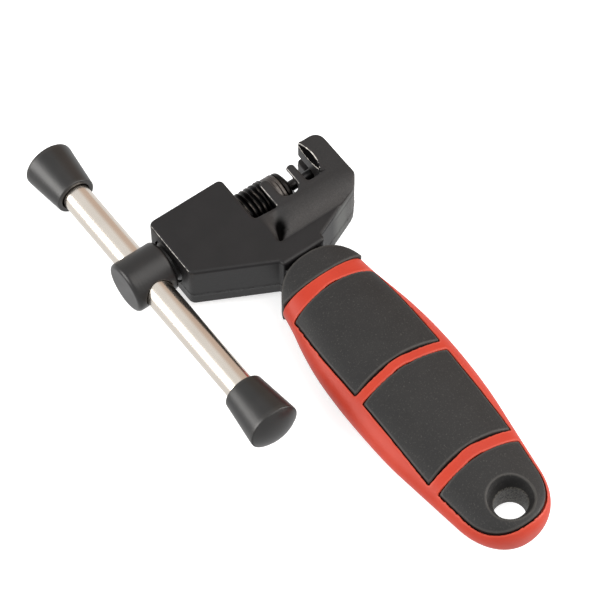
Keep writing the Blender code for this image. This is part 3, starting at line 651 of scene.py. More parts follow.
@dataclass(frozen=True)
class BlackSteel:
    """Oiled black oxide on turned steel, with tool marks round the axis. Noted parts are painted
    darker, for oil and as painted shade.
    """

    name: str
    oxide: Colour
    bare: Colour
    rough: float
    metallic: float
    mark: float = 0.03
    temper: Colour = linear(54, 47, 43)
    haze: Colour = linear(44, 39, 36)
    # Near black: an oil film, and painted shade on the thread in the gap by the boss.
    oil: Colour = linear(9, 9, 9)

    def make(self) -> Material:
        """The material of a blackened steel piece, which may note `oiled` parts, darkened for
        an oil film and as painted shade, and `tempered` parts.
        """
        paint = Paint(self.name)
        rings = paint.noise(0.35, 2.0, place=paint.drawn_out((1.0, 0.02, 0.02)))
        clouds = paint.noise(3.0, 3.0)
        worn = paint.noted("edge") * (0.3 + 0.7 * clouds)
        oiled = paint.noted("oiled")
        tempered = paint.noted("tempered") * (0.55 + 0.45 * rings.spread(0.35, 0.65))
        colour = paint.layered(
            self.oxide,
            (clouds.spread(0.4, 0.8) * 0.2, self.haze),
            (oiled * 0.8, self.oil),
            (tempered, self.temper),
            (worn.spread(0.55, 1.0) * 0.55, self.bare),
        )
        return paint.dress(
            Base_Color=colour,
            # Near black metal on the thread darkens its reflections: oil and painted shade.
            Metallic=self.metallic + oiled * (0.92 - self.metallic),
            Roughness=self.rough + clouds * 0.12 - worn * 0.1,
            Normal=paint.relief(rings, self.mark),
        )


@dataclass(frozen=True)
class Chrome:
    """Plated rod: near mirror, with faint lengthways polishing lines and a warm cast."""

    plate: Colour = linear(216, 208, 198)
    dull: Colour = linear(192, 182, 171)

    def make(self) -> Material:
        """The material of the tommy bar."""
        paint = Paint("chrome_plate")
        lines = paint.noise(0.25, 2.0, place=paint.drawn_out((1.0, 0.03, 1.0)))
        haze = paint.noise(14.0, 2.0)
        return paint.dress(
            Base_Color=paint.layered(self.plate, (haze.spread(0.35, 0.75) * 0.25, self.dull)),
            Metallic=1.0,
            Roughness=0.2 + haze * 0.04,
            Normal=paint.relief(lines, 0.0006),
        )


@dataclass(frozen=True)
class MouldedPlastic:
    """Moulded plastic: faint flow clouds, very fine texture and slightly paler edges."""

    name: str
    body: Colour
    cloud: Colour
    edge: Colour
    rough: float
    texture: float = 0.02
    gloss: float = 0.5

    def make(self) -> Material:
        """The material of a plastic piece."""
        paint = Paint(self.name)
        clouds = paint.noise(9.0, 2.0)
        pores = paint.noise(0.3, 2.0, 0.6)
        peel = paint.noise(1.8, 1.0)
        worn = paint.noted("edge").spread(0.2, 1.0) * 0.5
        flow = clouds.spread(0.3, 0.7)
        return paint.dress(
            Base_Color=paint.layered(self.body, (flow, self.cloud), (worn, self.edge)),
            Roughness=self.rough + clouds * 0.1 + pores * 0.05,
            Normal=paint.relief(pores * 0.5 + peel * 0.5, self.texture),
            Specular_IOR_Level=self.gloss,
        )


@dataclass(frozen=True)
class GripRubber:
    """Matt black rubber: spark-eroded grain, handling dust and a soft bloom on its edges."""

    body: Colour = linear(21, 20, 20)
    dust: Colour = linear(31, 30, 29)
    edge: Colour = linear(78, 75, 71)
    # Painted light: the paler colour of the hole's lining deep inside, as lit through the hole.
    powder: Colour = linear(98, 95, 89)
    # Painted shade in the rubber's concave corners.
    corner: Colour = linear(20, 19, 19)

    def make(self) -> Material:
        """The material of the grip pads and the collar."""
        paint = Paint("grip_rubber")
        grain = paint.grains(0.42)
        clouds = paint.noise(6.0, 4.0, 0.6)
        specks = paint.noise(0.45, 3.0, 0.7)
        colour = paint.layered(
            self.body,
            (clouds.spread(0.35, 0.75) * 0.55, self.dust),
            (specks.spread(0.55, 0.75) * 0.45, self.edge),
            # Painted light on the hole's lining deep inside.
            (paint.noted("dusty") * specks.spread(0.35, 0.6), self.powder),
            (paint.noted("edge").spread(0.2, 1.0) * 0.35, self.edge),
            # Painted shade in concave corners.
            (paint.noted("corner") * 0.7, self.corner),
        )
        return paint.dress(
            Base_Color=colour,
            Roughness=0.5 + clouds * 0.14,
            Normal=paint.relief(grain * 0.6 + specks * 0.4, 0.05),
            Specular_IOR_Level=0.36,
        )


# ---------------------------------------------------------------- sub-assemblies


def declare(obj: Piece, node: str, body: Body, finish: Material) -> None:
    """Puts a finished piece on its body, in place of its plain node, and reports it.

    Args:
        obj: the piece.
        node: the node that it stands for.
        body: the body that it rides on.
        finish: its material.
    """
    obj.data.materials.clear()
    obj.data.materials.append(finish)
    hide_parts(node)
    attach(obj, body.value)
    LOG.info("%s: %d faces, rides on %s", obj.name, len(obj.data.polygons), body.value)


@dataclass
class CastHead:
    """The one-piece cast head: boss, two walls, anvil, neck and tang."""

    skin: float = 0.18
    soft_passes: int = 2
    keep: float = 0.36
    bore: float = 6.6
    face_height: float = 6.4
    parting_height: float = -3.4
    parting_ridge: float = 0.14
    parting_width: float = 0.28
    edge_reach: float = 1.3
    valley_start: tuple[float, float] = (-6.1, -16.3)
    valley_end: tuple[float, float] = (-1.5, -8.9)
    valley_depth: float = 1.9
    valley_steep: float = 1.45
    valley_gentle: float = 2.1
    ramp_left: float = -6.6
    ramp_right: float = 20.5
    ramp_low: float = -16.6
    ramp_reach: float = 9.0
    ramp_depth: float = 0.75
    # The faced planes, whose -X edges are painted bare and bright as glints, the line's width and
    # least height.
    faced_at: tuple[float, ...] = (-30.98, -0.08, 8.77)
    faced_line: float = 0.16
    faced_above: float = 4.4
    anvil_face: float = 15.6
    anvil_span: tuple[float, float] = (-4.6, 7.0)
    lens_width: float = 1.6
    lens_least: float = 0.3
    # Width of the bright glint line painted round the lens.
    lens_line: float = 0.15
    lens_above: float = 5.3
    jaw_half: float = 7.2
    # Where the outer walls start to be painted paler as lit, and the dark seam lines along them.
    flank_start: float = 9.0
    flank_seams: tuple[float, float] = (5.2, -3.8)
    seam_width: float = 0.45
    # The gap between the boss and the first wall, whose walls are painted as shaded.
    slot_x: tuple[float, float] = (-8.2, 0.2)
    slot_y: tuple[float, float] = (-7.2, 9.5)
    slot_half: float = 7.7

    def build(self) -> Piece:
        """The casting with even, softened edges and a parting line round its side walls.

        A point on a side wall moves outwards along its normal by
        ridge * exp(-((z - height) / width)^2), times how upright the wall is there. A point on
        either face moves inwards by `sunk` and outwards by `filled`.

        Returns:
            The piece.
        """
        obj = piece_of("cast_head", frame["nodes"]["head_frame"].data.copy())
        obj.modifiers.new("weld", "WELD").merge_threshold = 1e-6
        settled(obj)
        moulded(obj, self.skin, self.soft_passes, self.keep)
        mesh = obj.data
        places = places_of(mesh)
        normals = normals_of(mesh)
        local = places_from_axis(mesh)
        _, y, z = local.T
        level = np.abs(normals[:, 2])
        ridge = np.exp(-(((z - self.parting_height) / self.parting_width) ** 2))
        ridge = ridge * np.clip(1 - 4 * level, 0, 1) * (y**2 + z**2 >= self.bore**2)
        places += normals * (ridge * self.parting_ridge * MM)[:, None]
        flat = np.clip(level * 4 - 2.5, 0, 1) * (np.abs(z) > self.face_height)
        places[:, 2] -= np.sign(z) * self.sunk(local) * flat * MM
        places[:, 2] += np.sign(z) * self.filled(local) * MM
        places = np.clip(places, *np.array(CAD_BOX))
        mesh.vertices.foreach_set("co", places.astype(np.float32).ravel())
        mesh.update()
        note_edges(obj, self.edge_reach)
        self.note_cuts(mesh, local, normals)
        return obj

    def sunk(self, local: Array) -> Array:
        """How far the jaw's faces lie below the plain casting.

        The ramps add depth * sin(pi t^0.6) for t from 0 to 1 over their reach from the lower
        line, faded in from the left line and out at the right. The valley adds
        depth * exp(-(aside / width)^2): its left side is steep, its right side gentle, and both
        widen along it.

        Args:
            local: (n, 3) places in millimetres from the spindle's axis.

        Returns:
            (n,) depths in millimetres.
        """
        x, y, _ = local.T
        across = rise(x, self.ramp_left, 3.4)
        ramps = self.ramp_depth * np.sin(pi * rise(y, self.ramp_low, self.ramp_reach) ** 0.6)
        ramps = ramps * across**2 * (3 - 2 * across) * fall(x, self.ramp_right, 5.0)
        run = np.array(self.valley_end) - self.valley_start
        length = np.linalg.norm(run)
        run = run / length
        from_start = local[:, :2] - self.valley_start
        along = from_start @ run / length
        aside = from_start @ np.array([run[1], -run[0]])
        width = np.where(aside < 0, self.valley_steep, self.valley_gentle)
        width = width * np.clip(0.35 + 0.8 * along, 0.35, 1.15)
        fade = rise(along, 0.0, 0.14) ** 0.7 * fall(along, 1.3, 0.75)
        return ramps + self.valley_depth * np.exp(-((aside / width) ** 2)) * fade

    def lens(self, local: Array) -> tuple[Array, Array]:
        """Where the points lie on the anvil's facing cut, which is a lens in plan.

        Args:
            local: (n, 3) places in millimetres from the spindle's axis.

        Returns:
            t, which runs from 0 at the anvil's face to 1 at the cut's widest, and the lens's
            own edge at that height: 1 - s^2, with s from -1 to 1 along the anvil.
        """
        low, high = self.anvil_span
        along = (local[:, 1] - (low + high) / 2) / ((high - low) / 2)
        return (local[:, 0] - self.anvil_face) / self.lens_width, 1 - along**2

    def filled(self, local: Array) -> Array:
        """How far the anvil's straight chamfer is filled out so that it closes to a lens.

        The chamfer's height there is half - width (1 - t). The lens's is
        half - width max(0, max(edge, least) - t), and the fill is their difference, faded in
        with height.

        Args:
            local: (n, 3) places in millimetres from the spindle's axis.

        Returns:
            (n,) heights in millimetres.
        """
        x, y, z = local.T
        t, edge = self.lens(local)
        t = np.clip(t, 0, 1)
        plain = self.jaw_half - self.lens_width * (1 - t)
        open_by = np.clip(np.maximum(edge, self.lens_least) - t, 0, None)
        meant = self.jaw_half - self.lens_width * open_by
        base = self.jaw_half - self.lens_width - 1.2
        beside = (np.abs(x - self.anvil_face - 0.7) < 1.1) * (y > self.anvil_span[0])
        return np.clip(meant - plain, 0, None) * rise(np.abs(z), base, plain - base) * beside

    def note_cuts(self, mesh: Mesh, local: Array, normals: Array) -> None:
        """Writes where facing cuts bare the edges, which are painted bright as glints, where the
        surface is left as cast, and where shade and light are painted.

        `faced` is 1 on an edge that turns towards -X at one of the faced planes, and round the
        lens on the anvil: bare cut edges, painted bright as glints of light. `as_cast` is
        highest at the foot of the jaw's ramps: cast grain, painted paler where light falls there.
        `grime` is 1 deep in the valley, in the lens and between the boss and the first wall,
        which is painted shade, and on dark seam lines along the outer walls. `flank` is 1 on the
        jaw's outer walls, which are painted paler as lit.

        Args:
            mesh: the casting's mesh.
            local: (n, 3) places in millimetres from the spindle's axis.
            normals: (n, 3) normals.
        """
        x, y, z = local.T
        high = np.abs(z)
        level = np.abs(normals[:, 2])
        flatness = np.clip(level * 3, 0, 1)
        # Bright glint lines are painted on edges that turn towards -X, as bare cut edges catching the
        # light.
        lean = np.clip(-normals[:, 0] * level * 5 - 1.5, 0, 1)
        away = np.min(np.abs(x[:, None] - np.array(self.faced_at)), axis=1)
        planes = lean * np.clip(1.5 - away / self.faced_line, 0, 1) * (high > self.faced_above)
        t, edge = self.lens(local)
        on_cut = (high > self.lens_above) * (level > 0.35) * (t > -0.12) * (t < 1.1) * (edge > 0)
        outline = np.minimum(np.abs(t - edge), np.abs(t - 0.02)) * self.lens_width
        line = np.clip(1.5 - outline / self.lens_line, 0, 1) * np.clip(edge * 3 - 0.2, 0, 1)
        # Cast grain at the foot of the ramps, painted paler where light falls on them.
        up = (y - self.ramp_low) / self.ramp_reach
        foot = rise(x, self.ramp_left, 1.2) * np.clip(up * 12, 0, 1)
        foot = foot * (0.2 + 0.8 * np.exp(-(((up - 0.3) / 0.42) ** 2)))
        # Painted light on the jaw's outer walls, which face +X.
        flank = rise(x, self.flank_start, 3.0) * np.clip(normals[:, 0] * 2, 0, 1)
        flank = flank * np.clip(1.4 - level * 2, 0, 1)
        off_seam = np.min(np.abs(z[:, None] - np.array(self.flank_seams)), axis=1)
        slot = (x > self.slot_x[0]) * (x < self.slot_x[1]) * (high < self.slot_half)
        slot = slot * (y > self.slot_y[0]) * (y < self.slot_y[1])
        # Painted shade deep in the valley, on the gap's walls and in the lens; dark seam lines on the
        # outer walls.
        dirt = [
            rise(self.sunk(local), 0.9, 0.8) * flatness,
            slot * (1 - flatness),
            on_cut * (t < edge),
            fall(off_seam, self.seam_width, self.seam_width) * flank * 0.75,
        ]
        # Bare cut edges and the lens's outline, painted bright as glints.
        faced = np.maximum(planes, on_cut * line)
        note(mesh, faced=faced, as_cast=foot, grime=np.max(dirt, axis=0), flank=flank)

    def dress(self) -> None:
        """Builds and paints the casting."""
        declare(self.build(), "head_frame", Body.FRAME, PaintedCasting().make())


@dataclass
class Spindle:
    """The screw spindle: head with a cross hole, neck, thread and grooved nose, bush and pin."""

    head_radius: float = 7.2
    head_start: float = -45.2
    head_end: float = -32.3
    head_round: float = 1.15
    neck_radius: float = 5.1
    thread_start: float = -30.6
    thread_end: float = 1.6
    crest: float = 6.0
    depth: float = 0.86
    pitch: float = 1.5
    nose_radius: float = 5.7
    nose_end: float = 5.4
    groove_back: float = 1.05
    groove_depth: float = 0.22
    hole_radius: float = 4.1
    hole_flare: float = 0.3
    past_head: float = 3.0
    holder_radius: float = 5.5
    holder_end: float = 8.2
    stem_radius: float = 3.2
    stem_length: float = 5.0
    pin_radius: float = 1.5
    pin_root: float = 3.4
    pin_tip: float = 16.6
    gap: float = 0.3
    around: int = 96
    hole_around: int = 72
    sharp: float = 38.0

    def radius_at(self, x: Array, turn: Array) -> Array:
        """The thread's radius: crest less depth times a rounded wave of its helical phase.

        The phase is x / pitch - turn / 2 pi. Its wave is flat at the crest and at the root,
        with a 60 degree flank between them, and it fades out at both ends of the thread.

        Args:
            x: places along the spindle, in millimetres.
            turn: angles round it.

        Returns:
            Radii in millimetres.
        """
        phase = (x / self.pitch - turn / (2 * pi)) % 1.0
        wave = 1 - rise(np.abs(phase - 0.5), 0.08, 0.32) ** 1.15
        fade = rise(x, self.thread_start + 0.3, 1.2) * fall(x, self.thread_end - 0.2, 1.0)
        return self.crest - self.depth * wave * fade

    def build_spindle(self) -> Piece:
        """The spindle as one turned and threaded surface, bored across its head."""
        bore = self.stem_radius + self.gap
        bore_end = self.nose_end - self.stem_length - self.gap
        lead = self.crest - self.neck_radius
        groove = self.nose_end - self.groove_back
        head = softened(
            (0.0, self.head_start, 0.0),
            (self.head_radius, self.head_start, self.head_round),
            (self.head_radius, self.head_end, self.head_round),
            (self.neck_radius, self.head_end, 0.15),
            (self.neck_radius, self.thread_start - lead, 0.1),
            (self.crest, self.thread_start, 0.0),
        )
        nose = softened(
            (self.crest, self.thread_end, 0.0),
            (self.nose_radius, self.thread_end + 0.4, 0.1),
            (self.nose_radius, groove - 0.2, 0.05),
            (self.nose_radius - self.groove_depth, groove, 0.05),
            (self.nose_radius, groove + 0.2, 0.05),
            (self.nose_radius, self.nose_end, 0.35),
            (bore, self.nose_end, 0.2),
            (bore, bore_end, 0.3),
            (0.0, bore_end, 0.0),
        )
        start, end = finely(head, 0.5)[1:], finely(nose, 0.6)[1:-1]
        x = np.arange(self.thread_start, self.thread_end, self.pitch / 12)[:, None]
        threaded = self.radius_at(x, steps_round(self.around))
        before, after = (np.repeat(part[:, 0:1], self.around, axis=1) for part in (start, end))
        radii = np.concatenate([before, threaded, after])
        heights = np.concatenate([start[:, 1:2], x, end[:, 1:2]])
        rings = along_spindle(rings_of(radii, heights, self.around))
        poles = along_spindle(on_axis(self.head_start, bore_end))
        obj = piece_of("screw_spindle", wrapped_surface(rings, poles))
        cut(obj, [self.cross_hole()])
        obj.data.set_sharp_from_angle(angle=radians(self.sharp))
        note_edges(obj)
        x = places_from_axis(obj.data)[:, 0]
        # The thread is oiled and painted darker as shaded in the gap; the nose is tempered.
        oiled = rise(x, self.thread_start - 0.4, 2.0) * fall(x, self.thread_end + 0.1, 0.6)
        note(obj.data, oiled=oiled, tempered=rise(x, self.thread_end, 0.3))
        return obj

    def cross_hole(self) -> Mesh:
        """The tool that bores the head, with a rim that follows the head's round side.

        Round the hole at angle t the head's side lies h(t) = sqrt(R^2 - (r sin t)^2) from the
        axis. The tool keeps its radius up to just inside h(t), then opens along a quarter arc.

        Returns:
            The tool's mesh.
        """
        bend = np.linspace(0, pi / 2, 5)
        radius = self.hole_radius + self.hole_flare * (1 - np.cos(bend))
        radius = np.append(radius, radius[-1])[:, None]
        lift = np.append(self.hole_flare * (np.sin(bend) - 1), self.past_head)[:, None]
        side = radius * np.sin(steps_round(self.hole_around))
        height = np.sqrt(self.head_radius**2 - side**2) + lift
        half = rings_of(radius, height, self.hole_around)
        rings = np.concatenate([half[::-1] * np.array([1.0, 1.0, -1.0]), half])
        poles = along_bar(on_axis(-BEYOND, BEYOND))
        return wrapped_surface(along_bar(rings), poles)

    def build_bush(self) -> Piece:
        """The domed bush that carries the pin: bore, rounded rim and stem."""
        bore = self.pin_radius + self.gap
        corners = [
            (0.0, self.pin_root - self.gap, 0.0),
            (bore, self.pin_root - self.gap, 0.1),
            (bore, self.holder_end, 0.15),
            (bore + 0.9, self.holder_end, 0.3),
            (self.holder_radius, self.holder_end - 1.35, 0.9),
            (self.holder_radius, self.nose_end + self.gap, 0.15),
            (self.stem_radius, self.nose_end + self.gap, 0.1),
            (self.stem_radius, self.nose_end - self.stem_length, 0.3),
            (0.0, self.nose_end - self.stem_length, 0.0),
        ]
        return turned_piece("pin_bush", corners, 0.5, along_spindle)

    def build_pin(self) -> Piece:
        """The drive pin, crowned at its tip."""
        corners = [
            (0.0, self.pin_root, 0.0),
            (self.pin_radius, self.pin_root, 0.2),
            (self.pin_radius, self.pin_tip - 0.45, 0.25),
            (self.pin_radius - 0.4, self.pin_tip, 0.12),
            (0.0, self.pin_tip, 0.0),
        ]
        return turned_piece("chain_pin_driver", corners, 0.4, along_spindle, 64)

    def dress(self) -> None:
        """Builds and finishes the spindle, its bush and its pin."""
        black = linear(30, 29, 29), linear(150, 142, 134), 0.32, 0.3
        brown = linear(13, 12, 12), linear(74, 68, 64), 0.34, 0.85, 0.008
        dark = linear(17, 16, 16), linear(90, 85, 80), 0.3, 0.5, 0.01
        black = BlackSteel("blackened_spindle", *black).make()
        brown = BlackSteel("hardened_bush", *brown).make()
        dark = BlackSteel("hardened_pin", *dark).make()
        declare(self.build_spindle(), "spindle", Body.SCREW, black)
        declare(self.build_bush(), "pin_holder", Body.SCREW, brown)
        declare(self.build_pin(), "drive_pin", Body.FEED, dark)


@dataclass
class TommyBar:
    """The plated rod and its two flared caps. Heights run along the bar, far end positive."""

    radius: float = 4.0
    far: float = 44.5
    near: float = 56.2
    edge: float = 0.6
    cap_length: float = 13.6
    cap_dome: float = 2.17
    dome_angle: float = 48.0
    cap_mouth: float = 5.65
    cap_end: float = 7.16
    socket_depth: float = 11.6
    rim: float = 0.7
    dome_edge: float = 0.34
    dome_lift: float = 0.14
    gap: float = 0.3
    sharp: float = 30.0

    def build_rod(self) -> Piece:
        """The rod, with rounded ends."""
        corners = [
            (0.0, -self.near, 0.0),
            (self.radius, -self.near, self.edge),
            (self.radius, self.far, self.edge),
            (0.0, self.far, 0.0),
        ]
        return turned_piece("chromed_rod", corners, 3.0, along_bar, 128)

    def build_cap(self, name: str, far: bool) -> Piece:
        """One flared cap: socket, rolled mouth, straight flare, rim and domed end.

        Args:
            name: the piece's name.
            far: True for the cap at the bar's far end.

        Returns:
            The piece.
        """
        bar_end = self.far if far else self.near
        outer = bar_end + self.cap_length - self.socket_depth
        mouth = outer - self.cap_length
        socket = self.radius + self.gap
        bow = radians(self.dome_angle)
        dome = np.linspace(0, bow, 14)
        reach = (self.cap_end - self.dome_edge) * np.sin(dome) / sin(bow)
        bulge = (self.cap_dome - self.dome_lift) * (np.cos(dome) - cos(bow)) / (1 - cos(bow))
        top = np.stack([reach, outer + self.dome_lift + bulge], axis=1)
        side = softened(
            (*top[-1], 0.0),
            (self.cap_end - 0.26, outer - 0.1, 0.05),
            (self.cap_end - 0.14, outer + 0.04, 0.05),
            (self.cap_end, outer - 0.12, 0.08),
            (self.cap_end, outer - self.rim, 0.3),
            (self.cap_mouth, mouth, 0.45),
            (socket, mouth, 0.3),
            (socket, bar_end + self.gap, 0.3),
            (0.0, bar_end + self.gap, 0.0),
        )
        profile = finely(np.concatenate([top, side[1:]]), 0.7) * np.array([1.0, 1.0 if far else -1.0])
        obj = piece_of(name, turned(profile, along_bar, 112))
        obj.data.set_sharp_from_angle(angle=radians(self.sharp))
        note_edges(obj)
        return obj

    def dress(self) -> None:
        """Builds and finishes the rod and its caps."""
        colours = linear(17, 16, 15), linear(23, 21, 20), linear(40, 38, 36)
        plastic = MouldedPlastic("cap_moulding", *colours, 0.3).make()
        declare(self.build_rod(), "tommy_bar", Body.BAR, Chrome().make())
        for end, far in (("far", True), ("near", False)):
            cap = self.build_cap(f"flared_cap_{end}", far)
            declare(cap, f"bar_cap_{end}", Body.BAR, plastic)


@dataclass
class Handle:
    """The two-colour handle: red core, black collar, pads let into both faces, hanging hole.

    Each row of `stations` is a distance below the spindle's axis, and the handle's half width,
    half thickness and middle there. `pad_stations` gives the half width of the pads.
    """

    stations: Table = (
        (20.0, 12.0, 7.5, -2.8),
        (30.0, 12.9, 7.6, -2.9),
        (36.0, 13.8, 7.75, -3.1),
        (42.0, 15.1, 7.9, -3.3),
        (50.0, 16.45, 8.0, -3.4),
        (60.0, 17.25, 8.0, -3.4),
        (72.0, 17.25, 7.9, -3.45),
        (82.0, 16.65, 7.6, -3.6),
        (92.0, 15.3, 7.2, -3.7),
        (100.0, 14.15, 6.9, -3.75),
        (112.0, 12.5, 6.4, -3.8),
        (120.0, 11.6, 6.2, -3.8),
    )
    pad_stations: Table = (
        (34.0, 12.7),
        (46.0, 13.45),
        (58.0, 13.5),
        (70.0, 13.3),
        (82.0, 13.2),
        (93.0, 12.85),
        (100.0, 12.2),
        (108.0, 11.4),
        (118.0, 10.6),
    )
    turn_start: float = 106.0
    end: float = 119.4
    end_power: float = 2.3
    section_power: float = 2.2
    core_top: float = 30.6
    middle: float = -2.9
    core_neck: tuple[float, float] = (8.6, 5.2)
    neck_power: float = 0.7
    collar_top: float = 22.95
    collar_base: float = 36.0
    collar_half_width: float = 13.7
    collar_power: float = 2.3
    collar_lap: float = 3.2
    collar_seam: float = 0.05
    collar_middle: float = 32.0
    throat: tuple[float, float, float] = (-9.0, 3.0, 4.6)
    tang: tuple[float, float, float] = (5.6, 2.0, 94.0)
    pad_depth: float = 1.9
    pad_proud: float = 0.12
    pad_arch: float = 1.7
    pad_core: float = 0.4
    pad_turn: float = 0.985
    end_margin: float = 0.6
    hole: tuple[float, float] = (-3.1, -109.9)
    hole_radius: float = 4.1
    hole_stretch: float = 1.12
    lining: float = 1.2
    dish_radius: float = 5.8
    dish_depth: float = 4.0
    back_dish: float = 0.9
    # How deep in the hole the lining starts to be painted paler as lit.
    dust_depth: float = 3.5
    gap: float = 0.3
    clear: float = 3.0
    skin: float = 0.26

    def row(self, down: Array, column: int, table: Table) -> Array:
        """A size on a smooth curve through the stations.

        Between two stations it is the cubic whose values and slopes match at both, each
        slope being taken from the stations either side.

        Args:
            down: distances below the axis, in millimetres.
            column: which size.
            table: the stations.

        Returns:
            The sizes, in millimetres.
        """
        stations = np.array(table)
        places = stations[:, 0]
        values = stations[:, column]
        slopes = np.gradient(values, places)
        down = np.clip(down, places[0], places[-1])
        index = np.clip(np.searchsorted(places, down) - 1, 0, len(places) - 2)
        width = places[index + 1] - places[index]
        t = (down - places[index]) / width
        return (
            (2 * t**3 - 3 * t**2 + 1) * values[index]
            + (t**3 - 2 * t**2 + t) * width * slopes[index]
            + (3 * t**2 - 2 * t**3) * values[index + 1]
            + (t**3 - t**2) * width * slopes[index + 1]
        )

    def round_end(self, down: Array, end: float) -> Array:
        """How far a place is along the round end that closes at `end`, from 0 to 1."""
        return rise(down, self.turn_start, end - self.turn_start)

    def half_width(self, down: Array) -> Array:
        """Half width: the stations' times (1 - t^p)^(1/p), t running over the round end."""
        share = self.round_end(down, self.end)
        return self.row(down, 1, self.stations) * closing(share, self.end_power)

    def half_thickness(self, down: Array) -> Array:
        """Half thickness: the stations' times (1 - t^6)^(1/3), t running over the round end."""
        share = self.round_end(down, self.end)
        return self.row(down, 2, self.stations) * (1 - share**6) ** (1 / 3)

    def crown(self, across: Array, down: Array) -> Array:
        """Height of the face: half thickness times (1 - |across / half width|^p)^(1/p)."""
        share = np.clip(np.abs(across) / np.maximum(self.half_width(down), 1e-6), 0, 1)
        return self.half_thickness(down) * closing(share, self.section_power)

    def section(self, around: int, power: float) -> tuple[Array, Array]:
        """A rounded section's (|cos|^q, |sin|^q) with the signs kept, half a step from 0."""
        return squared_circle(steps_round(around) + pi / around, power)

    def on_middle(self, top: float, base: float) -> Array:
        """Two poles on the handle's middle line, from their distances below the axis."""
        return at_axis(np.array([[self.middle, -top, 0.0], [self.middle, -base, 0.0]]))

    def core_body(self) -> Mesh:
        """The core before its pockets, from under the collar to the round end.

        A section at a distance below the axis is (w |cos|^(2/p), z |sin|^(2/p)).

        Returns:
            The mesh.
        """
        turn = np.linspace(0, pi / 2, 22)[1:-1]
        straight = np.linspace(self.core_top, self.turn_start, 90)
        bend = self.turn_start + (self.end - self.turn_start) * np.sin(turn)
        down = np.concatenate([straight, bend])[:, None]
        c, s = self.section(120, 2 / self.section_power)
        x = self.row(down, 3, self.stations) + self.half_width(down) * c
        rings = at_axis(stacked(x, -down, self.half_thickness(down) * s))
        end_x = self.row(np.array([self.end]), 3, self.stations)[0]
        poles = at_axis(np.array([[self.middle, -self.core_top, 0.0], [end_x, -self.end, 0.0]]))
        return wrapped_surface(rings, poles)

    def neck_body(self, top: float, base: float, grow: float) -> Mesh:
        """The core's neck under the collar, or the collar's seat for it when it is grown.

        Args:
            top: where it starts below the axis.
            base: where it ends.
            grow: how much wider and thicker it is all round.

        Returns:
            The mesh.
        """
        c, s = self.section(64, self.neck_power)
        wide, thick = self.core_neck
        down = np.linspace(top, base, 6)[:, None]
        rings = stacked(self.middle + (wide + grow) * c, -down, (thick + grow) * s)
        return wrapped_surface(at_axis(rings), self.on_middle(top, base))

    def block(self, low: Sequence[float], high: Sequence[float]) -> Mesh:
        """A box between two corners, in millimetres, as a cutting tool."""
        corners = np.indices((2, 2, 2)).reshape(3, -1).T
        sides = [[0, 1, 3, 2], [4, 6, 7, 5], [0, 4, 5, 1], [2, 3, 7, 6], [0, 2, 6, 4], [1, 5, 7, 3]]
        points = at_axis(np.array(low) + corners * (np.array(high) - np.array(low)))
        return mesh_from(points, np.array(sides))

    def pad_surface(self, label: str, side: int, grow: float, above: float, below: float) -> Mesh:
        """A pad that follows the handle's crown, or its pocket when it is grown.

        Across the pad, x = w(down) sin(u) for u from -90 to 90 degrees, and the rows bow
        downwards by arch * sin(u)^2. The end pad's width closes as the handle's does, round its
        own end, and its bow fades out towards the hanging hole.

        Args:
            label: upper, middle or end.
            side: 1 for the front face, -1 for the back.
            grow: how much wider and longer it is all round.
            above: how far the upper face is over the crown.
            below: how far the lower face is under it.

        Returns:
            The mesh.
        """
        top, bottom = PAD_SPANS[label]
        if label == "end":
            turn = np.linspace(0, pi / 2, 26)[1:] * self.pad_turn
            straight = np.linspace(top - grow, self.turn_start, 20)
            bend = self.turn_start + (bottom - self.turn_start) * np.sin(turn)
            places = np.concatenate([straight, bend])[:, None]
            bow = 1 - rise(places, top, self.turn_start - top)
            down = places + grow * (places > self.turn_start)
        else:
            places = np.linspace(top - grow, bottom + grow, 48)[:, None]
            bow = 1.0
            down = places
        close = closing(self.round_end(places, PAD_SPANS["end"][1]), self.end_power)
        share = np.sin(np.linspace(-pi / 2, pi / 2, 49))
        across = (self.row(places, 1, self.pad_stations) * close + grow) * share
        along = down + self.pad_arch * bow * share**2
        face = self.crown(across, np.minimum(along, self.end - self.end_margin))
        x = self.row(along, 3, self.stations) + across
        upper = stacked(x, -along, side * np.maximum(face + above, self.pad_core))
        lower = stacked(x, -along, side * np.maximum(face - below, self.pad_core))
        rings = np.concatenate([upper, lower[:, ::-1]], axis=1)
        poles = ((upper + lower) / 2)[[0, -1], share.size // 2]
        return wrapped_surface(at_axis(rings), at_axis(poles))

    def hole_tool(self, radius: float, reach: float, around: int = 72) -> Mesh:
        """A round tool through the handle at the hanging hole, stretched a little across."""
        corners = np.array([[0.0, reach], [radius, reach], [radius, -reach], [0.0, -reach]])
        return turned(finely(corners, 1.0), self.at_hole, around)

    def at_hole(self, points: Array) -> Array:
        """Carries points turned about Z to the hanging hole, in metres."""
        return at_axis(points * np.array([self.hole_stretch, 1.0, 1.0]) + np.array([*self.hole, 0.0]))

    def skinned(self, obj: Piece, passes: int) -> Piece:
        """A piece with its moulded skin and its edges noted."""
        moulded(obj, self.skin, passes)
        note_edges(obj)
        return obj

    def build_core(self) -> Piece:
        """The red core, with a pocket for each pad, its neck, the tang's slot and the bore."""
        obj = piece_of("red_core", self.core_body())
        top, base = self.core_top - self.collar_lap, self.core_top + self.clear
        neck = self.neck_body(top, base, 0.0)
        cut(obj, [neck], "UNION")
        pockets = [
            self.pad_surface(label, side, self.gap, 4.0, self.pad_depth + self.gap)
            for label in PAD_SPANS
            for side in (1, -1)
        ]
        half, thick, end = (value + self.gap for value in self.tang)
        slot = self.block(
            (self.middle - half, -end, -thick),
            (self.middle + half, -self.core_top + self.collar_lap + 2.0, thick),
        )
        bore = self.hole_tool(self.hole_radius + self.lining + self.gap, BEYOND)
        cut(obj, [*pockets, slot, bore])
        return self.skinned(obj, 3)

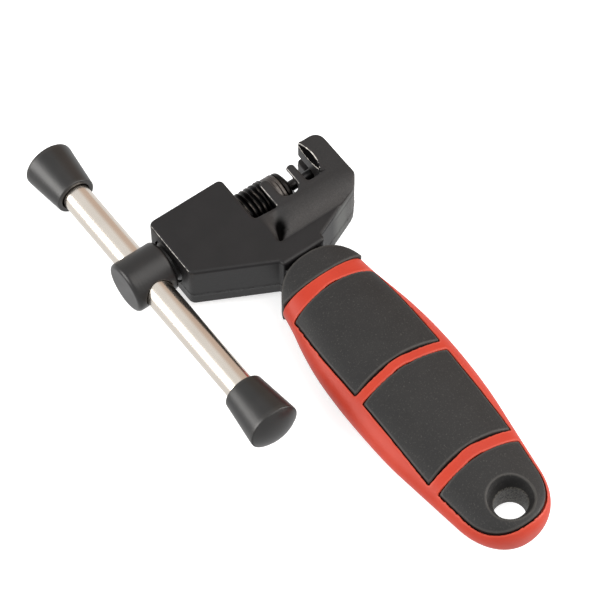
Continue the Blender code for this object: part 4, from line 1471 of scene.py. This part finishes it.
    def pad(self, label: str, side: int) -> Mesh:
        """One pad before its rims are softened."""
        return self.pad_surface(label, side, 0.0, self.pad_proud, self.pad_depth)

    def build_end_grip(self) -> Piece:
        """The end pads of both faces and the hole's lining, moulded as one, with a round dish."""
        obj = piece_of("end_grip", self.pad("end", 1))
        face = float(self.crown(np.zeros(1), np.array([-self.hole[1]]))[0])
        above = face + self.clear
        lining = self.hole_tool(self.hole_radius + self.lining, face - 0.6, 66)
        cut(obj, [self.pad("end", -1), lining], "UNION")
        front = softened(
            (0.0, above, 0.0),
            (self.dish_radius + 1.6, above, 0.0),
            (self.dish_radius + 0.3, face + 0.1, 0.6),
            (self.dish_radius - 0.5, face - 1.2, 0.8),
            (self.hole_radius, face - self.dish_depth, 0.6),
            (self.hole_radius, 0.0, 0.0),
        )
        back = softened(
            (0.0, above, 0.0),
            (self.hole_radius + 2.2, above, 0.0),
            (self.hole_radius + 0.9, face + 0.1, 0.5),
            (self.hole_radius, face - self.back_dish, 0.5),
            (self.hole_radius, 0.0, 0.0),
        )
        profile = np.concatenate([front, back[-2::-1] * np.array([1.0, -1.0])])
        cut(obj, [turned(finely(profile, 0.8), self.at_hole, 84)])
        self.skinned(obj, 4)
        local = places_from_axis(obj.data) - np.array([*self.hole, 0.0])
        across = np.hypot(local[:, 0] / self.hole_stretch, local[:, 1])
        # Painted light: the lining deep in the hole is made paler, as lit through the hole.
        dusty = fall(across, self.hole_radius + 0.5, 0.3) * (local[:, 2] < face - self.dust_depth)
        note(obj.data, dusty=dusty)
        return obj

    def build_collar(self) -> Piece:
        """The black collar: wide and round-topped in plan, as thick as the handle.

        Its plan is x = w |cos a|^q, down = base - (base - top) |sin a|^q with q = 2 / p, and
        its face has the height of the handle's crown at the collar's widest.

        Returns:
            The piece.
        """
        c, s = squared_circle(np.linspace(0, pi, 181), 2 / self.collar_power)
        x = self.middle + self.collar_half_width * c
        y = -self.collar_base + (self.collar_base - self.collar_top) * s
        foot = -self.collar_base - 2.0
        plan = np.append(x, [x[-1], x[0]]), np.append(y, [foot, foot])
        levels = np.array([-BEYOND, BEYOND])
        poles = at_axis(stacked(self.middle, -self.collar_middle, levels))
        arch = wrapped_surface(at_axis(stacked(*plan, levels[:, None])), poles)
        down = np.linspace(self.collar_top - 1.0, self.core_top - self.collar_seam, 24)[:, None]
        c, s = self.section(120, 2 / self.section_power)
        x = self.middle + (self.collar_half_width + 0.6) * c
        z = (self.row(down, 2, self.stations) + self.pad_proud) * s
        poles = self.on_middle(down[0, 0], down[-1, 0])
        obj = piece_of("collar", wrapped_surface(at_axis(stacked(x, -down, z)), poles))
        cut(obj, [arch], "INTERSECT")
        left, right, half = self.throat
        throat = self.block(
            (left - self.gap, -self.core_top, -half - self.gap),
            (right + self.gap, -self.collar_top + self.clear, half + self.gap),
        )
        top, base = self.core_top - self.collar_lap - self.gap, self.core_top + self.clear
        seat = self.neck_body(top, base, self.gap)
        cut(obj, [throat, seat])
        return self.skinned(obj, 5)

    def dress(self) -> None:
        """Builds and finishes every piece of the handle."""
        rubber = GripRubber().make()
        colours = linear(170, 46, 25), linear(176, 51, 30), linear(188, 74, 55)
        red = MouldedPlastic("red_moulding", *colours, 0.38, 0.03, 0.3).make()
        declare(self.build_core(), "handle_core", Body.FRAME, red)
        declare(self.build_collar(), "grip_collar", Body.FRAME, rubber)
        for label in ("upper", "middle"):
            for side, word in ((1, "front"), (-1, "back")):
                pad = self.skinned(piece_of(f"grip_pad_{label}_{word}", self.pad(label, side)), 4)
                declare(pad, f"grip_{label}_{word}", Body.FRAME, rubber)
        declare(self.build_end_grip(), "grip_end", Body.FRAME, rubber)


# ---------------------------------------------------------------- studio


@dataclass(frozen=True)
class Lamp:
    """A square soft lamp that faces the tool: place and side in metres, power in watts."""

    name: str
    place: Point
    side: float
    watts: float
    tint: Colour

    def hang(self) -> None:
        """Puts the lamp in the scene."""
        data = bpy.data.lights.new("lamp", "AREA")
        data.shape = "SQUARE"
        data.size = self.side
        data.energy = self.watts
        data.color = self.tint
        obj = piece_of(self.name, data)
        obj.location = self.place
        obj.rotation_euler = (-Vector(self.place)).to_track_quat("-Z", "Y").to_euler()


@dataclass
class Studio:
    """White floor, soft lamps and the camera."""

    azimuth: float = -36.3
    elevation: float = 60.0
    distance: float = 0.70
    lens: float = 160.02
    sight: Point = (-9.89, -29.99, 0.0)
    floor_half: float = 3.0
    floor_glow: float = 0.6
    sky: float = 0.75
    surround: tuple[tuple[float, Colour], ...] = ((0.25, WHITE), (0.6, linear(226, 206, 192)))
    lamps: tuple[Lamp, ...] = (
        Lamp("key", (0.35, -0.25, 0.75), 0.8, 5.0, (1.0, 0.985, 0.96)),
        Lamp("fill", (-0.7, 0.2, 0.5), 0.6, 1.6, (0.97, 0.985, 1.0)),
        Lamp("glint", (-0.64, 0.3, 0.24), 0.42, 3.6, (1.0, 0.98, 0.95)),
        Lamp("side", (0.62, -0.42, 0.2), 0.4, 3.6, WHITE),
    )

    def floor(self) -> None:
        """A white floor that reads white to the camera and to reflections, and keeps the shadow."""
        corners = np.array([(-1, -1, 0), (1, -1, 0), (1, 1, 0), (-1, 1, 0)]) * self.floor_half
        mesh = bpy.data.meshes.new("floor")
        mesh.from_pydata(corners.tolist(), [], [(0, 1, 2, 3)])
        obj = piece_of("floor", mesh)
        paint = Paint("white_floor")
        matt = paint.node("ShaderNodeBsdfDiffuse", {}, {"Color": (0.82, 0.82, 0.82)})
        faint, white = (
            paint.node("ShaderNodeEmission", {}, {"Color": WHITE, "Strength": strength})
            for strength in (self.floor_glow, 1.0)
        )
        lifted = paint.node("ShaderNodeAddShader", {}, {0: faint, 1: matt})
        first = {0: paint.reached_by("Camera"), 1: matt, 2: lifted}
        shown = paint.node("ShaderNodeMixShader", {}, first)
        for kind in ("Glossy", "Transmission"):
            inputs = {0: paint.reached_by(kind), 1: shown, 2: white}
            shown = paint.node("ShaderNodeMixShader", {}, inputs)
        paint.join(paint.tree.nodes["Material Output"].inputs["Surface"], shown)
        paint.tree.nodes.remove(paint.shader)
        mesh.materials.append(paint.material)

    def world(self) -> None:
        """A plain pale surround: white to the camera, softer as light, warmer in reflections.

        In reflections it turns from white to a warm beige towards the tool's anvil side.
        """
        world = bpy.data.worlds.new("surround")
        world.use_nodes = True
        nodes = Nodes(world.node_tree)
        camera, glossy = (nodes.reached_by(kind) for kind in ("Camera", "Glossy"))
        way = nodes.node("ShaderNodeTexCoord", {}, {}, "Generated")
        across = nodes.node("ShaderNodeSeparateXYZ", {}, {0: way}, "X")
        warm = nodes.node("ShaderNodeValToRGB", {"stops": self.surround}, {0: across})
        colour = nodes.node("ShaderNodeMix", {"data_type": "RGBA"}, {0: glossy, 6: WHITE, 7: warm}, 2)
        shown = nodes.node("ShaderNodeMath", {"operation": "MAXIMUM"}, {0: camera, 1: glossy})
        strength = nodes.node("ShaderNodeMix", {}, {0: shown, 2: self.sky, 3: 1.0})
        back = nodes.tree.nodes["Background"].inputs
        nodes.join(back["Color"], colour)
        nodes.join(back["Strength"], strength)
        bpy.context.scene.world = world

    def camera(self) -> None:
        """The camera, aimed at a point on the head side of the handle."""
        data = bpy.data.cameras.new("view")
        data.lens = self.lens
        data.sensor_width = 36.0
        turn, lift = radians(self.azimuth), radians(self.elevation)
        away = Vector((sin(turn) * cos(lift), -cos(turn) * cos(lift), sin(lift)))
        place = Vector(at_axis(np.array(self.sight))) + away * self.distance
        obj = piece_of("view", data)
        obj.matrix_world = Matrix.LocRotScale(place, away.to_track_quat("Z", "Y"), None)
        bpy.context.scene.camera = obj

    def set_up(self) -> None:
        """Floor, surround, lamps and camera."""
        bpy.context.scene.view_settings.view_transform = "Standard"
        self.floor()
        self.world()
        for lamp in self.lamps:
            lamp.hang()
        self.camera()


def main() -> None:
    """Builds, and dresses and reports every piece."""
    logging.basicConfig(level=logging.INFO, format="%(message)s")
    for assembly in (CastHead(), Spindle(), TommyBar(), Handle()):
        assembly.dress()
    Studio().set_up()


if __name__ == "__main__":
    main()
